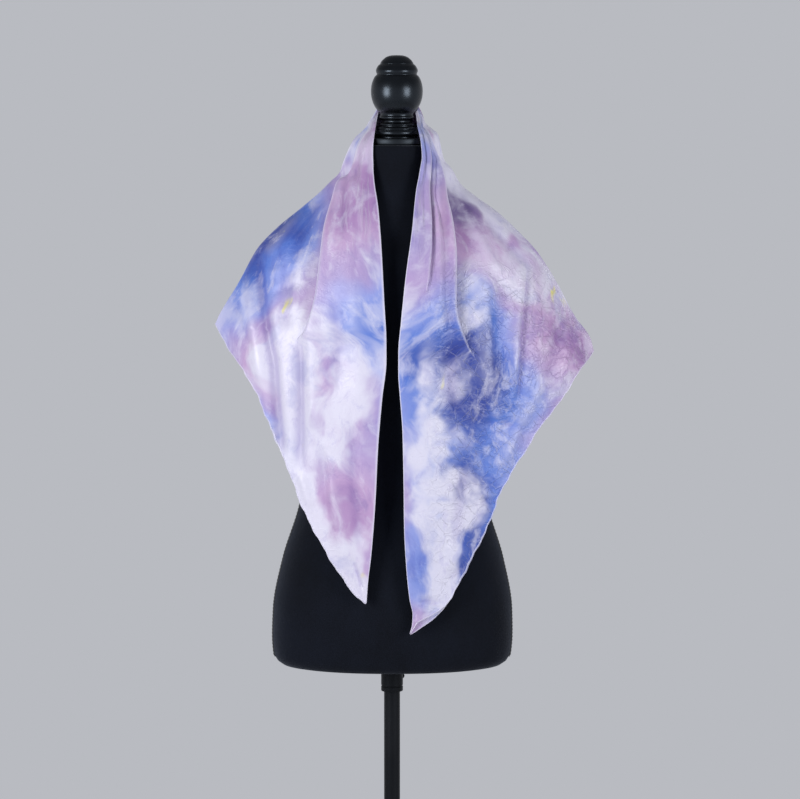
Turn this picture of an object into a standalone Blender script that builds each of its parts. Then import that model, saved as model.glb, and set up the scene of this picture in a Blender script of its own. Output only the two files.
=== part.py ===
"""A silk square scarf, folded corner to corner and laid over a limbless dress form on its stand.

Metres, +Z up. The front faces -Y, and "left" and "right" are those of someone who looks at the front.
The origin is on the floor, under the middle of the round foot.
"""
import math

import bmesh
import bpy
import numpy as np

# ---- Sizes that drive the rest ----------------------------------------------------------------
SEAM = 0.0003              # gap between two pieces that meet
CLOTH = 0.0020             # the two silk layers together, with the air between them

FOOT_RADIUS = 0.175
FOOT_HEIGHT = 0.006        # a steel plate
FOOT_EDGE = 0.0015         # rounding of the foot's rim
POLE_RADIUS = 0.0108
POLE_TOP = 1.050           # hidden in the torso's bore
COLLAR_RADIUS = 0.0148
COLLAR_HEIGHT = 0.0377
COLLAR_BORE = POLE_RADIUS + SEAM
COLLAR_EDGE = 0.0010       # bevel of the collar's lower rim
SCREW_HEIGHT = 0.7750      # height of the clamping screw's axis
SCREW_SHANK_RADIUS = 0.0020
SCREW_HEAD_RADIUS = 0.0036
SCREW_HEAD_START = 0.0185  # from the pole's axis
SCREW_HEAD_END = 0.0228
SCREW_HEAD_EDGE = 0.0007   # bevel of the head's outer rim
SCREW_SIDES = 20
SCREW_TURN = math.radians(50.0)    # from +X toward the back
TORSO_BOTTOM = 0.7955
NECK_TOP = 1.4965
BORE_RADIUS = 0.0125       # the torso's bore, round the pole
BORE_TOP = 1.265           # leaves the pole 0.2 m of travel
FINIAL_X = 0.0066          # the neck stands a little to the right of the pole
LEAN_PER_METRE = 0.0092    # sideways lean of the torso, to the right

TORSO_SIDES = 32
TORSO_ROW = 0.024          # height of a row of the torso's mesh
TURNED_SIDES = 24          # sides of the finial and the stand
CLOTH_ROW = 0.0125         # height of a row of the cloth's mesh over the shoulders
FRONT_TOP = 1.535          # where the fold's edge leaves the shoulder ridge, beside the neck
BACK_TOP = 1.546           # the fold's edge behind the neck
TIP_LENGTH = 0.030         # length of each end whose rows lie closer
PLEAT_COLUMNS = 3          # columns in front from one pleat to the next, and across a pleat's step
PANEL_COLUMNS = 8          # columns in front from the last pleat to the cloth's outer edge
BACK_COLUMNS = 11          # columns on each half of the back stretch

# ---- The torso's sections: height, half width, depth in front, depth behind, roundness ----------
TORSO_SECTIONS = [
    (TORSO_BOTTOM, 0.1400, 0.0840, 0.0920, 2.2),
    (0.7970, 0.1485, 0.0890, 0.0970, 2.2),
    (0.8015, 0.1550, 0.0930, 0.1010, 2.2),
    (0.8105, 0.1592, 0.0960, 0.1040, 2.3),
    (0.8360, 0.1610, 0.0985, 0.1070, 2.3),
    (0.8720, 0.1600, 0.1000, 0.1085, 2.3),
    (0.9400, 0.1475, 0.0940, 0.0990, 2.2),
    (1.0080, 0.1265, 0.0830, 0.0800, 2.1),
    (1.0430, 0.1195, 0.0790, 0.0730, 2.1),
    (1.0800, 0.1200, 0.0790, 0.0730, 2.1),
    (1.1500, 0.1345, 0.0850, 0.0810, 2.2),
    (1.2230, 0.1490, 0.0880, 0.0930, 2.2),
    (1.2800, 0.1615, 0.0870, 0.0980, 2.2),
    (1.3300, 0.1725, 0.0800, 0.0930, 2.2),
    (1.3480, 0.1765, 0.0755, 0.0880, 2.1),
    (1.3620, 0.1750, 0.0710, 0.0830, 2.0),
    (1.3740, 0.1665, 0.0670, 0.0775, 1.9),
    (1.3830, 0.1550, 0.0650, 0.0750, 1.8),
    (1.3930, 0.1385, 0.0635, 0.0725, 1.75),
    (1.4040, 0.1150, 0.0610, 0.0690, 1.75),
    (1.4140, 0.0920, 0.0585, 0.0640, 1.8),
    (1.4250, 0.0700, 0.0560, 0.0590, 1.9),
    (1.4370, 0.0585, 0.0535, 0.0550, 2.0),
    (1.4500, 0.0520, 0.0505, 0.0515, 2.0),
    (1.4700, 0.0485, 0.0480, 0.0480, 2.0),
    (1.4925, 0.0460, 0.0460, 0.0460, 2.0),
    (1.4957, 0.0445, 0.0445, 0.0445, 2.0),
    (NECK_TOP, 0.0415, 0.0415, 0.0415, 2.0),
]
BUST_X = 0.080
BUST_HEIGHT = 1.213
BUST_RISE = 0.018          # how far the bust stands out of the plain section
BUST_SPREAD = 0.042

# ---- The finial's turned profile: radius, height above the neck's top ---------------------------
FINIAL_PROFILE = [
    (0.0382, 0.0003), (0.0401, 0.0013), (0.0401, 0.0082), (0.0387, 0.0092),
    (0.0281, 0.0096), (0.0281, 0.0114), (0.0297, 0.0128), (0.0307, 0.0158),
    (0.0300, 0.0187), (0.0287, 0.0203), (0.0294, 0.0218), (0.0277, 0.0236),
    (0.0243, 0.0246), (0.0254, 0.0264), (0.0242, 0.0283), (0.0201, 0.0295),
    (0.0201, 0.0326), (0.0228, 0.0346), (0.0234, 0.0368), (0.0223, 0.0387),
    (0.0228, 0.0417), (0.0261, 0.0456), (0.0294, 0.0503), (0.0321, 0.0560),
    (0.0340, 0.0631), (0.0346, 0.0705), (0.0340, 0.0779), (0.0321, 0.0849),
    (0.0292, 0.0904), (0.0267, 0.0930), (0.0271, 0.0946), (0.0278, 0.0968),
    (0.0278, 0.0991), (0.0265, 0.1022), (0.0247, 0.1049), (0.0221, 0.1071),
    (0.0219, 0.1080), (0.0204, 0.1106), (0.0180, 0.1131), (0.0139, 0.1162),
    (0.0084, 0.1180), (0.0040, 0.1184),
]

# ---- The drape's sections: height, y of the shoulder ridge, depth in front, depth behind,
# ---- roundness in front, roundness behind -------------------------------------------------------
DRAPE_SECTIONS = [
    (1.547, 0.0205, 0.000, 0.0400, 1.8, 2.0),
    (1.535, 0.0130, 0.006, 0.0430, 1.8, 2.0),
    (1.524, 0.0060, 0.026, 0.0480, 1.8, 2.0),
    (1.512, 0.0020, 0.038, 0.0525, 1.8, 2.0),
    (1.496, 0.0000, 0.046, 0.0570, 1.9, 2.0),
    (1.470, 0.0000, 0.050, 0.0610, 1.9, 1.9),
    (1.445, 0.0000, 0.055, 0.0660, 1.8, 1.8),
    (1.420, 0.0000, 0.062, 0.0740, 1.8, 1.8),
    (1.390, 0.0000, 0.073, 0.0860, 1.8, 1.8),
    (1.360, 0.0000, 0.085, 0.0960, 1.75, 1.8),
    (1.330, 0.0000, 0.095, 0.1030, 1.7, 1.75),
    (1.290, 0.0000, 0.105, 0.1080, 1.65, 1.65),
    (1.250, 0.0000, 0.112, 0.1100, 1.65, 1.6),
    (1.200, 0.0000, 0.115, 0.1100, 1.7, 1.6),
    (1.100, 0.0000, 0.116, 0.1110, 1.6, 1.6),
    (1.000, 0.0000, 0.116, 0.1140, 1.6, 1.7),
    (0.840, 0.0000, 0.117, 0.1200, 1.6, 1.8),
]

# ---- Outlines of the cloth, each as rows of height and distance sideways from the pole ----------
LEFT_RIDGE = [
    (1.547, 0.0190), (1.5405, 0.0220), (1.5275, 0.0305), (1.5175, 0.0365), (1.507, 0.0480),
    (1.497, 0.0550), (1.474, 0.0650), (1.4585, 0.0705), (1.4475, 0.0820), (1.433, 0.0965),
    (1.411, 0.1225), (1.389, 0.1500), (1.368, 0.1715), (1.358, 0.1800), (1.312, 0.2055),
    (1.266, 0.2330), (1.2565, 0.2370),
]
LEFT_HEM = [
    (1.2565, 0.2370), (1.2255, 0.2170), (1.2015, 0.1995), (1.1715, 0.1805), (1.1405, 0.1675),
    (1.1085, 0.1550), (1.0705, 0.1370), (1.021, 0.1185), (0.957, 0.0835), (0.922, 0.0600),
    (0.905, 0.0470), (0.899, 0.0385), (0.8955, 0.0355),
]
LEFT_FOLD = [
    (1.5415, 0.0200), (1.5195, 0.0235), (1.4905, 0.0250), (1.4495, 0.0215), (1.4155, 0.0170),
    (1.3565, 0.0125), (1.288, 0.0090), (1.2455, 0.0070), (1.218, 0.0070), (1.1675, 0.0125),
    (1.103, 0.0180), (1.032, 0.0215), (0.961, 0.0270), (0.923, 0.0315), (0.8955, 0.0335),
]
RIGHT_RIDGE = [
    (1.547, 0.0355), (1.544, 0.0375), (1.5335, 0.0420), (1.522, 0.0460), (1.518, 0.0535),
    (1.5105, 0.0615), (1.497, 0.0650), (1.476, 0.0700), (1.4645, 0.0800), (1.4445, 0.0915),
    (1.429, 0.1100), (1.408, 0.1395), (1.379, 0.1710), (1.3535, 0.1945), (1.314, 0.2200),
    (1.267, 0.2455), (1.237, 0.2665), (1.2205, 0.2710),
]
RIGHT_HEM = [
    (1.2205, 0.2710), (1.2005, 0.2535), (1.1775, 0.2375), (1.153, 0.2205), (1.125, 0.1965),
    (1.107, 0.1855), (1.0675, 0.1595), (1.039, 0.1435), (0.9995, 0.1285), (0.958, 0.1075),
    (0.9355, 0.0960), (0.910, 0.0825), (0.887, 0.0675), (0.875, 0.0560), (0.866, 0.0427),
    (0.8585, 0.0315), (0.855, 0.0260),
]
RIGHT_FOLD = [
    (1.5425, 0.0295), (1.531, 0.0335), (1.520, 0.0350), (1.485, 0.0355), (1.437, 0.0295),
    (1.389, 0.0260), (1.323, 0.0173), (1.270, 0.0120), (1.227, 0.0085), (1.1995, 0.0085),
    (1.174, 0.0103), (1.1215, 0.0140), (1.051, 0.0155), (0.997, 0.0162), (0.9435, 0.0190),
    (0.8985, 0.0238), (0.881, 0.0275), (0.866, 0.0266), (0.855, 0.0235),
]
APEX_HEIGHT = 0.832        # the square's corner, low on the back
APEX_HALF_WIDTH = 0.0030

# ---- Pleats: rows of height, distance sideways from the pole, height of the step ----------------
LEFT_PLEAT = [
    (1.536, 0.0262, 0.0000), (1.510, 0.0405, 0.0000), (1.477, 0.0594, 0.0010), (1.455, 0.0688, 0.0050),
    (1.429, 0.0786, 0.0070), (1.383, 0.0926, 0.0070), (1.349, 0.0969, 0.0070), (1.305, 0.1020, 0.0060),
    (1.259, 0.1129, 0.0030), (1.234, 0.1214, 0.0000), (0.9575, 0.0635, 0.0000), (0.8955, 0.0348, 0.0000),
]
RIGHT_PLEAT = [
    (1.537, 0.0386, 0.0000), (1.515, 0.0477, 0.0010), (1.494, 0.0557, 0.0050), (1.473, 0.0637, 0.0070),
    (1.4525, 0.0697, 0.0080), (1.426, 0.0759, 0.0080), (1.366, 0.0822, 0.0080), (1.278, 0.0889, 0.0060),
    (1.235, 0.1015, 0.0020), (1.213, 0.1113, 0.0000), (0.9575, 0.0712, 0.0000), (0.855, 0.0256, 0.0000),
]
RIGHT_ROLL = [
    (1.538, 0.0347, 0.0000), (1.516, 0.0418, 0.0010), (1.505, 0.0448, 0.0025), (1.468, 0.0456, 0.0035),
    (1.408, 0.0409, 0.0035), (1.361, 0.0397, 0.0030), (1.325, 0.0370, 0.0020), (1.296, 0.0343, 0.0000),
    (0.958, 0.0304, 0.0000), (0.855, 0.0243, 0.0000),
]
STEP_WIDTH = 0.0090        # how far sideways a pleat's step takes
STEP_SHARE = 0.35          # largest share of the room beside a pleat that half its step takes
NEAREST_PLEAT = 0.15       # a pleat keeps this share of the cloth's width on its inner side
FARTHEST_PLEAT = 0.80      # and at most this share
RIDGE_FADE = 0.0120        # distance from the shoulder ridge within which pleats and folds die out
BACK_FADE = 0.5            # the same behind, as a turn round the drape in radians
LAST_TURN = 0.49 * math.pi    # mid back's outward direction is taken here, so both halves share it

# ---- Soft folds: height and distance sideways at the top, the same at the bottom, rise, width ----
LEFT_SOFT_FOLDS = [
    (1.360, 0.178, 1.040, 0.120, 0.0050, 0.013),
    (1.312, 0.061, 1.020, 0.067, 0.0030, 0.020),
    (1.250, 0.152, 1.100, 0.122, -0.0040, 0.014),
]
RIGHT_SOFT_FOLDS = [
    (1.340, 0.178, 1.070, 0.132, -0.0050, 0.013),
    (1.262, 0.212, 1.131, 0.167, 0.0040, 0.016),
    (1.243, 0.061, 0.999, 0.053, 0.0030, 0.020),
]
BACK_SOFT_FOLDS = [
    (1.470, 0.026, 1.060, 0.085, 0.0060, 0.014),
    (1.440, 0.050, 1.180, 0.160, 0.0050, 0.015),
    (1.400, 0.004, 0.960, 0.010, 0.0035, 0.022),
    (1.300, 0.120, 1.090, 0.130, -0.0040, 0.018),
]


# ---- Small helpers --------------------------------------------------------------------------------
def smooth_curve(rows, column):
    """A function of height through a table's column that never overshoots its rows."""
    rows = sorted(rows)
    heights = np.array([row[0] for row in rows])
    values = np.array([row[column] for row in rows])
    spans = np.diff(heights)
    steps = np.diff(values) / spans
    slopes = np.zeros(len(rows))
    slopes[0] = steps[0]
    slopes[-1] = steps[-1]
    for index in range(1, len(rows) - 1):
        below = steps[index - 1]
        above = steps[index]
        if below * above > 0.0:
            slopes[index] = 2.0 * below * above / (below + above)

    def value_at(height):
        height = min(max(height, heights[0]), heights[-1])
        index = min(int(np.searchsorted(heights, height, side="right")) - 1, len(spans) - 1)
        part = (height - heights[index]) / spans[index]
        start = (1.0 + 2.0 * part) * (1.0 - part) ** 2 * values[index]
        end = part ** 2 * (3.0 - 2.0 * part) * values[index + 1]
        leave = part * (1.0 - part) ** 2 * spans[index] * slopes[index]
        arrive = part ** 2 * (part - 1.0) * spans[index] * slopes[index + 1]
        return start + end + leave + arrive

    return value_at


def smooth_step(part):
    part = min(max(part, 0.0), 1.0)
    return part * part * (3.0 - 2.0 * part)


def lean(height):
    """How far the torso's middle stands to the right of the pole at a height."""
    return LEAN_PER_METRE * (height - TORSO_BOTTOM)


def levels(top, bottom, spacing):
    """Heights from top to bottom, both included, about one spacing apart."""
    count = max(1, round((top - bottom) / spacing))
    return [top + (bottom - top) * index / count for index in range(count + 1)]


# ---- Materials and meshes -------------------------------------------------------------------------
def make_material(name, colour, roughness, metallic=0.0):
    material = bpy.data.materials.new(name)
    material.use_nodes = True
    shader = material.node_tree.nodes["Principled BSDF"]
    shader.inputs["Base Color"].default_value = (*colour, 1.0)
    shader.inputs["Roughness"].default_value = roughness
    shader.inputs["Metallic"].default_value = metallic
    return material


def make_object(name, points, faces, material, sharp_angle=35.0):
    mesh = bpy.data.meshes.new(name)
    mesh.from_pydata([tuple(point) for point in points], [], faces)
    shape = bmesh.new()
    shape.from_mesh(mesh)
    bmesh.ops.recalc_face_normals(shape, faces=shape.faces)
    shape.to_mesh(mesh)
    shape.free()
    mesh.shade_smooth()
    mesh.set_sharp_from_angle(angle=math.radians(sharp_angle))
    mesh.materials.append(material)
    placed = bpy.data.objects.new(name, mesh)
    bpy.context.scene.collection.objects.link(placed)
    return placed


def loft(name, rings, material, ring_shaped=False):
    """A closed body through equal rings. Its ends are capped, or meet each other if it is ring shaped."""
    sides = len(rings[0])
    points = [point for ring in rings for point in ring]
    faces = []
    last = len(rings) if ring_shaped else len(rings) - 1
    for row in range(last):
        below = row * sides
        above = (row + 1) % len(rings) * sides
        for side in range(sides):
            after = (side + 1) % sides
            faces.append((below + side, below + after, above + after, above + side))
    if not ring_shaped:
        top = (len(rings) - 1) * sides
        faces.append(tuple(range(sides)))
        faces.append(tuple(top + side for side in range(sides)))
    return make_object(name, points, faces, material)


def circle(radius, height, x=0.0, sides=TURNED_SIDES):
    turns = [2.0 * math.pi * side / sides for side in range(sides)]
    return [(x + radius * math.cos(turn), radius * math.sin(turn), height) for turn in turns]


# ---- The stand ------------------------------------------------------------------------------------
def build_foot(material):
    rings = [
        circle(FOOT_RADIUS, 0.0),
        circle(FOOT_RADIUS, FOOT_HEIGHT - FOOT_EDGE),
        circle(FOOT_RADIUS - 0.3 * FOOT_EDGE, FOOT_HEIGHT - 0.3 * FOOT_EDGE),
        circle(FOOT_RADIUS - FOOT_EDGE, FOOT_HEIGHT),
    ]
    return loft("base_plate", rings, material)


def build_pole(material):
    rings = [circle(POLE_RADIUS, FOOT_HEIGHT + SEAM), circle(POLE_RADIUS, POLE_TOP)]
    return loft("pole", rings, material)


def build_collar(material):
    top = TORSO_BOTTOM - SEAM
    bottom = top - COLLAR_HEIGHT
    rings = [
        circle(COLLAR_BORE, bottom),
        circle(COLLAR_RADIUS - COLLAR_EDGE, bottom),
        circle(COLLAR_RADIUS, bottom + COLLAR_EDGE),
        circle(COLLAR_RADIUS, top),
        circle(COLLAR_BORE, top),
    ]
    return loft("height_collar", rings, material, ring_shaped=True)


def build_screw(material):
    """The clamping screw: a short shank and a round head, at the back of the collar's right side."""
    stations = [
        (COLLAR_RADIUS + SEAM, SCREW_SHANK_RADIUS),
        (SCREW_HEAD_START, SCREW_SHANK_RADIUS),
        (SCREW_HEAD_START, SCREW_HEAD_RADIUS),
        (SCREW_HEAD_END - SCREW_HEAD_EDGE, SCREW_HEAD_RADIUS),
        (SCREW_HEAD_END, SCREW_HEAD_RADIUS - SCREW_HEAD_EDGE),
    ]
    along = (math.cos(SCREW_TURN), math.sin(SCREW_TURN))
    rings = []
    for reach, radius in stations:
        ring = []
        for across, up, _ in circle(radius, 0.0, sides=SCREW_SIDES):
            x = reach * along[0] - across * along[1]
            y = reach * along[1] + across * along[0]
            ring.append((x, y, SCREW_HEIGHT + up))
        rings.append(ring)
    return loft("thumb_screw", rings, material)


# ---- The dress form ---------------------------------------------------------------------------------
def torso_ring(half_width, front, back, roundness, height):
    power = 2.0 / roundness
    ring = []
    for side in range(TORSO_SIDES):
        turn = 2.0 * math.pi * side / TORSO_SIDES
        across = math.cos(turn)
        along = math.sin(turn)
        x = half_width * math.copysign(abs(across) ** power, across)
        depth = back if along > 0.0 else front
        y = depth * math.copysign(abs(along) ** power, along)
        if along < 0.0:
            reach = ((abs(x) - BUST_X) ** 2 + (height - BUST_HEIGHT) ** 2) / (2.0 * BUST_SPREAD ** 2)
            y -= BUST_RISE * abs(along) * math.exp(-reach)
        ring.append((x + lean(height), y, height))
    return ring


def build_torso(material):
    columns = [smooth_curve(TORSO_SECTIONS, column) for column in range(1, 5)]
    heights = [row[0] for row in TORSO_SECTIONS]
    more = []
    for low, high in zip(heights, heights[1:]):
        more += levels(high, low, TORSO_ROW)[1:-1]
    bore = [circle(BORE_RADIUS, height, sides=TORSO_SIDES) for height in (BORE_TOP, TORSO_BOTTOM)]
    rings = bore
    for height in sorted(heights + more):
        rings.append(torso_ring(*[column(height) for column in columns], height))
    return loft("torso_form", rings, material)


def build_finial(material):
    rings = [circle(radius, NECK_TOP + height, x=FINIAL_X) for radius, height in FINIAL_PROFILE]
    return loft("neck_finial", rings, material)


# ---- The draped silk --------------------------------------------------------------------------------
class Side:
    """One side of the drape: its outlines, pleats and soft folds. sign is -1 on the left, 1 on the right."""

    def __init__(self, sign, ridge, hem, fold, pleats, soft_folds):
        self.sign = sign
        self.ridge = smooth_curve(ridge, 1)
        self.hem = smooth_curve(hem, 1)
        self.fold = smooth_curve(fold, 1)
        self.corner_height = hem[0][0]
        self.corner_reach = hem[0][1]
        self.tip_height = hem[-1][0]
        self.pleats = [(smooth_curve(rows, 1), smooth_curve(rows, 2)) for rows in pleats]
        self.soft_folds = soft_folds

    def back_hem(self, height):
        """Distance sideways of the hem behind, from the side's corner to the square's corner."""
        part = (height - APEX_HEIGHT) / (self.corner_height - APEX_HEIGHT)
        return APEX_HALF_WIDTH + (self.corner_reach - APEX_HALF_WIDTH) * part


LEFT = Side(-1.0, LEFT_RIDGE, LEFT_HEM, LEFT_FOLD, [LEFT_PLEAT], LEFT_SOFT_FOLDS)
RIGHT = Side(1.0, RIGHT_RIDGE, RIGHT_HEM, RIGHT_FOLD, [RIGHT_ROLL, RIGHT_PLEAT], RIGHT_SOFT_FOLDS)
RIDGE_Y, FRONT_DEPTH, BACK_DEPTH, FRONT_ROUNDNESS, BACK_ROUNDNESS = [
    smooth_curve(DRAPE_SECTIONS, column) for column in range(1, 6)]


def drape_point(side, height, turn):
    """A point of the plain drape. turn is 0 on the shoulder ridge, -90 degrees mid front, 90 mid back."""
    middle = lean(height)
    ridge_y = RIDGE_Y(height)
    if turn < 0.0:
        y_span = -(FRONT_DEPTH(height) + ridge_y)
        power = 2.0 / FRONT_ROUNDNESS(height)
    else:
        y_span = BACK_DEPTH(height) - ridge_y
        power = 2.0 / BACK_ROUNDNESS(height)
    reach = side.ridge(height) - side.sign * middle
    x = middle + side.sign * reach * max(math.cos(turn), 0.0) ** power
    y = ridge_y + y_span * abs(math.sin(turn)) ** power
    return np.array((x, y, height))


def drape_turn(side, height, distance, behind=False):
    """The turn at which the drape is a distance sideways from the pole."""
    middle = lean(height)
    reach = side.ridge(height) - side.sign * middle
    roundness = BACK_ROUNDNESS(height) if behind else FRONT_ROUNDNESS(height)
    share = min(max((distance - side.sign * middle) / reach, 0.0), 1.0)
    turn = math.acos(share ** (roundness / 2.0))
    return turn if behind else -turn


def drape_normal(side, height, turn):
    """The drape's outward direction."""
    turn_step = 0.02
    height_step = 0.004
    along = drape_point(side, height, turn + turn_step) - drape_point(side, height, turn - turn_step)
    up = drape_point(side, height + height_step, turn) - drape_point(side, height - height_step, turn)
    normal = np.cross(along, up) * side.sign
    return normal / np.linalg.norm(normal)


def soft_fold_rise(folds, height, distance):
    """How far the soft folds lift the cloth at a place. Each fades out toward its ends."""
    rise = 0.0
    for top, top_distance, bottom, bottom_distance, crest, width in folds:
        part = (top - height) / (top - bottom)
        if 0.0 < part < 1.0:
            centre = top_distance + (bottom_distance - top_distance) * part
            fade = math.sin(math.pi * part)
            rise += crest * fade * math.exp(-((distance - centre) / width) ** 2)
    return rise


def front_rise(side, height, distance):
    rise = soft_fold_rise(side.soft_folds, height, distance)
    for edge, step in side.pleats:
        rise += step(height) * (1.0 - smooth_step((distance - edge(height)) / STEP_WIDTH + 0.5))
    return rise


def cloth_wall(name, rows, shift_y, material):
    """A closed wall of the cloth's thickness from rows of (outer point, outward direction)."""
    columns = len(rows[0])
    shift = np.array((0.0, shift_y, 0.0))
    outer = [point + shift for row in rows for point, _ in row]
    inner = [point + shift - CLOTH * normal for row in rows for point, normal in row]
    faces = []
    offset = len(outer)
    for row in range(len(rows) - 1):
        for column in range(columns - 1):
            here = row * columns + column
            quad = (here, here + 1, here + columns + 1, here + columns)
            faces.append(quad)
            faces.append(tuple(offset + corner for corner in reversed(quad)))
    last_row = (len(rows) - 1) * columns
    border = list(range(columns))
    border += [row * columns + columns - 1 for row in range(1, len(rows))]
    border += [last_row + column for column in range(columns - 2, -1, -1)]
    border += [row * columns for row in range(len(rows) - 2, 0, -1)]
    for here, after in zip(border, border[1:] + border[:1]):
        faces.append((here, after, offset + after, offset + here))
    return make_object(name, outer + inner, faces, material)


def front_turns(side, height, outer):
    """The turns of a front row's points, crowded where the pleats' steps are."""
    edges = [side.fold(height)]
    counts = []
    for edge, _ in side.pleats:
        room = outer - edges[-1]
        inside = min(max(edge(height) - edges[-1], NEAREST_PLEAT * room), FARTHEST_PLEAT * room)
        half_step = min(0.5 * STEP_WIDTH, STEP_SHARE * inside, STEP_SHARE * (room - inside))
        middle = edges[-1] + inside
        edges += [middle - half_step, middle + half_step]
        counts += [PLEAT_COLUMNS, PLEAT_COLUMNS]
    edges.append(outer)
    counts.append(PANEL_COLUMNS)
    marks = [drape_turn(side, height, edge) for edge in edges]
    turns = [marks[0]]
    for start, end, count in zip(marks, marks[1:], counts):
        turns += [start + (end - start) * index / count for index in range(1, count + 1)]
    return turns


def shoulder_levels(bottom):
    """Row heights that the stretches share where they meet, from the fronts' top to a side's corner."""
    heights = levels(FRONT_TOP, LEFT.corner_height, CLOTH_ROW)
    heights += levels(LEFT.corner_height, RIGHT.corner_height, CLOTH_ROW)[1:]
    return [height for height in heights if height > bottom - 0.5 * SEAM]


def build_front(name, side, material):
    narrow = side.tip_height + TIP_LENGTH
    heights = shoulder_levels(side.corner_height) + levels(side.corner_height, narrow, 1.2 * CLOTH_ROW)[1:]
    heights += levels(narrow, side.tip_height, 0.4 * CLOTH_ROW)[1:]
    rows = []
    for height in heights:
        above_corner = height >= side.corner_height
        outer = side.ridge(height) if above_corner else side.hem(height)
        row = []
        for turn in front_turns(side, height, outer):
            normal = drape_normal(side, height, turn)
            point = drape_point(side, height, turn)
            distance = side.sign * point[0]
            fade = smooth_step((outer - distance) / RIDGE_FADE) if above_corner else 1.0
            row.append((point + normal * front_rise(side, height, distance) * fade, normal))
        rows.append(row)
    return cloth_wall(name, rows, -0.5 * SEAM, material)


def build_back(name, material):
    heights = levels(BACK_TOP, FRONT_TOP, 0.5 * CLOTH_ROW)[:-1] + shoulder_levels(RIGHT.corner_height)
    heights += levels(RIGHT.corner_height, APEX_HEIGHT, 1.4 * CLOTH_ROW)[1:]
    rows = []
    for height in heights:
        row = []
        for side in (LEFT, RIGHT):
            half = []
            start = 0.0
            if height < side.corner_height:
                start = drape_turn(side, height, side.back_hem(height), behind=True)
            for column in range(BACK_COLUMNS + 1):
                turn = start + (0.5 * math.pi - start) * column / BACK_COLUMNS
                point = drape_point(side, height, turn)
                normal = drape_normal(side, height, min(turn, LAST_TURN))
                fade = smooth_step(turn / BACK_FADE)
                distance = abs(point[0])
                rise = soft_fold_rise(BACK_SOFT_FOLDS, height, distance) * fade
                half.append((point + normal * rise, normal))
            row += half[:-1] if side is LEFT else half[::-1]
        rows.append(row)
    return cloth_wall(name, rows, 0.5 * SEAM, material)


# ---- Build ------------------------------------------------------------------------------------------
def main():
    for old in list(bpy.data.objects):
        bpy.data.objects.remove(old, do_unlink=True)
    silk = make_material("silk", (0.42, 0.36, 0.70), 0.40)
    jersey = make_material("jersey", (0.010, 0.011, 0.015), 0.90)
    lacquer = make_material("lacquer", (0.010, 0.010, 0.011), 0.25)
    stand_paint = make_material("stand_paint", (0.012, 0.012, 0.013), 0.45, metallic=0.3)
    build_foot(stand_paint)
    build_pole(stand_paint)
    build_collar(stand_paint)
    build_screw(stand_paint)
    build_torso(jersey)
    build_finial(lacquer)
    build_front("scarf_left_front", LEFT, silk)
    build_front("scarf_right_front", RIGHT, silk)
    build_back("scarf_back", silk)


main()
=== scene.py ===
"""Looks of the silk square scarf, folded corner to corner and laid over a limbless dress form.

Metres, +Z up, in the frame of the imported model. The front faces -Y, and "left" and "right" are those of
someone who looks at the front. The scarf is one doubled sheet of silk: an outer layer, the rounded fold
round the neck and down both fronts, and an under layer.
"""
import math

import bpy
import numpy as np
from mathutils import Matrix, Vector


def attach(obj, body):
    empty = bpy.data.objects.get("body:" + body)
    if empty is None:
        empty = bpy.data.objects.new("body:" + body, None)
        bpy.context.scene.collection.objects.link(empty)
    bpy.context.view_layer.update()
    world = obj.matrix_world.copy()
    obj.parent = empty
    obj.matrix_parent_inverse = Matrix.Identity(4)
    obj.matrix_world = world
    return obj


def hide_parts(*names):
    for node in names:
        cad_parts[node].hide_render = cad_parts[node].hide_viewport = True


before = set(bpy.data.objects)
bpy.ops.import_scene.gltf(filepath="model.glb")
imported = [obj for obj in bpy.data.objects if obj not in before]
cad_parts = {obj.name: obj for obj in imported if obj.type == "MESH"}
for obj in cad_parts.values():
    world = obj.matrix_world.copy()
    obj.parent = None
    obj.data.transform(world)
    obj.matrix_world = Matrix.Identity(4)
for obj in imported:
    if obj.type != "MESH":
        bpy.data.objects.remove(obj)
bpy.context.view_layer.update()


def metres(rows, plain=0):
    """Rows of millimetres in metres. The last plain numbers of each row are no lengths and stay."""
    lengths = len(rows[0]) - plain
    return [[value / 1000.0 for value in row[:lengths]] + list(row[lengths:]) for row in rows]


# ---- Camera, light and floor
CAMERA_PLACE = (0.0108, -5.0, 1.70)
CAMERA_DIP = math.radians(6.23)    # how far down the camera looks
CAMERA_LENS = 168.45               # millimetres
SENSOR_WIDTH = 36.0
VIEW_END = 50.0
AIR_COLOUR = (0.485, 0.497, 0.533)       # low down, behind the object
CEILING_COLOUR = (0.200, 0.205, 0.222)
CEILING_RISE = (0.03, 0.42)        # sines of the rise over which the air darkens into the ceiling
SOFTBOX_TURN = math.radians(46.0)  # of each softbox from the front, or from the back
SOFTBOX_REACH = 2.1
SOFTBOX_HEIGHT = 1.52
SOFTBOX_SIZE = (0.85, 0.95)
SOFTBOX_TARGET = (0.0, 0.0, 1.30)
SOFTBOXES = [                      # name, side (-1 left), end (-1 in front) and watts
    ("softbox_left", -1.0, -1.0, 26.0), ("softbox_right", 1.0, -1.0, 20.0),
    ("softbox_back_left", -1.0, 1.0, 20.0), ("softbox_back_right", 1.0, 1.0, 11.0),
]
FLOOR_RADIUS = 2.3
FLOOR_SIDES = 128
FLOOR_DROP = 0.0002                # how far the floor lies under the foot

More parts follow.
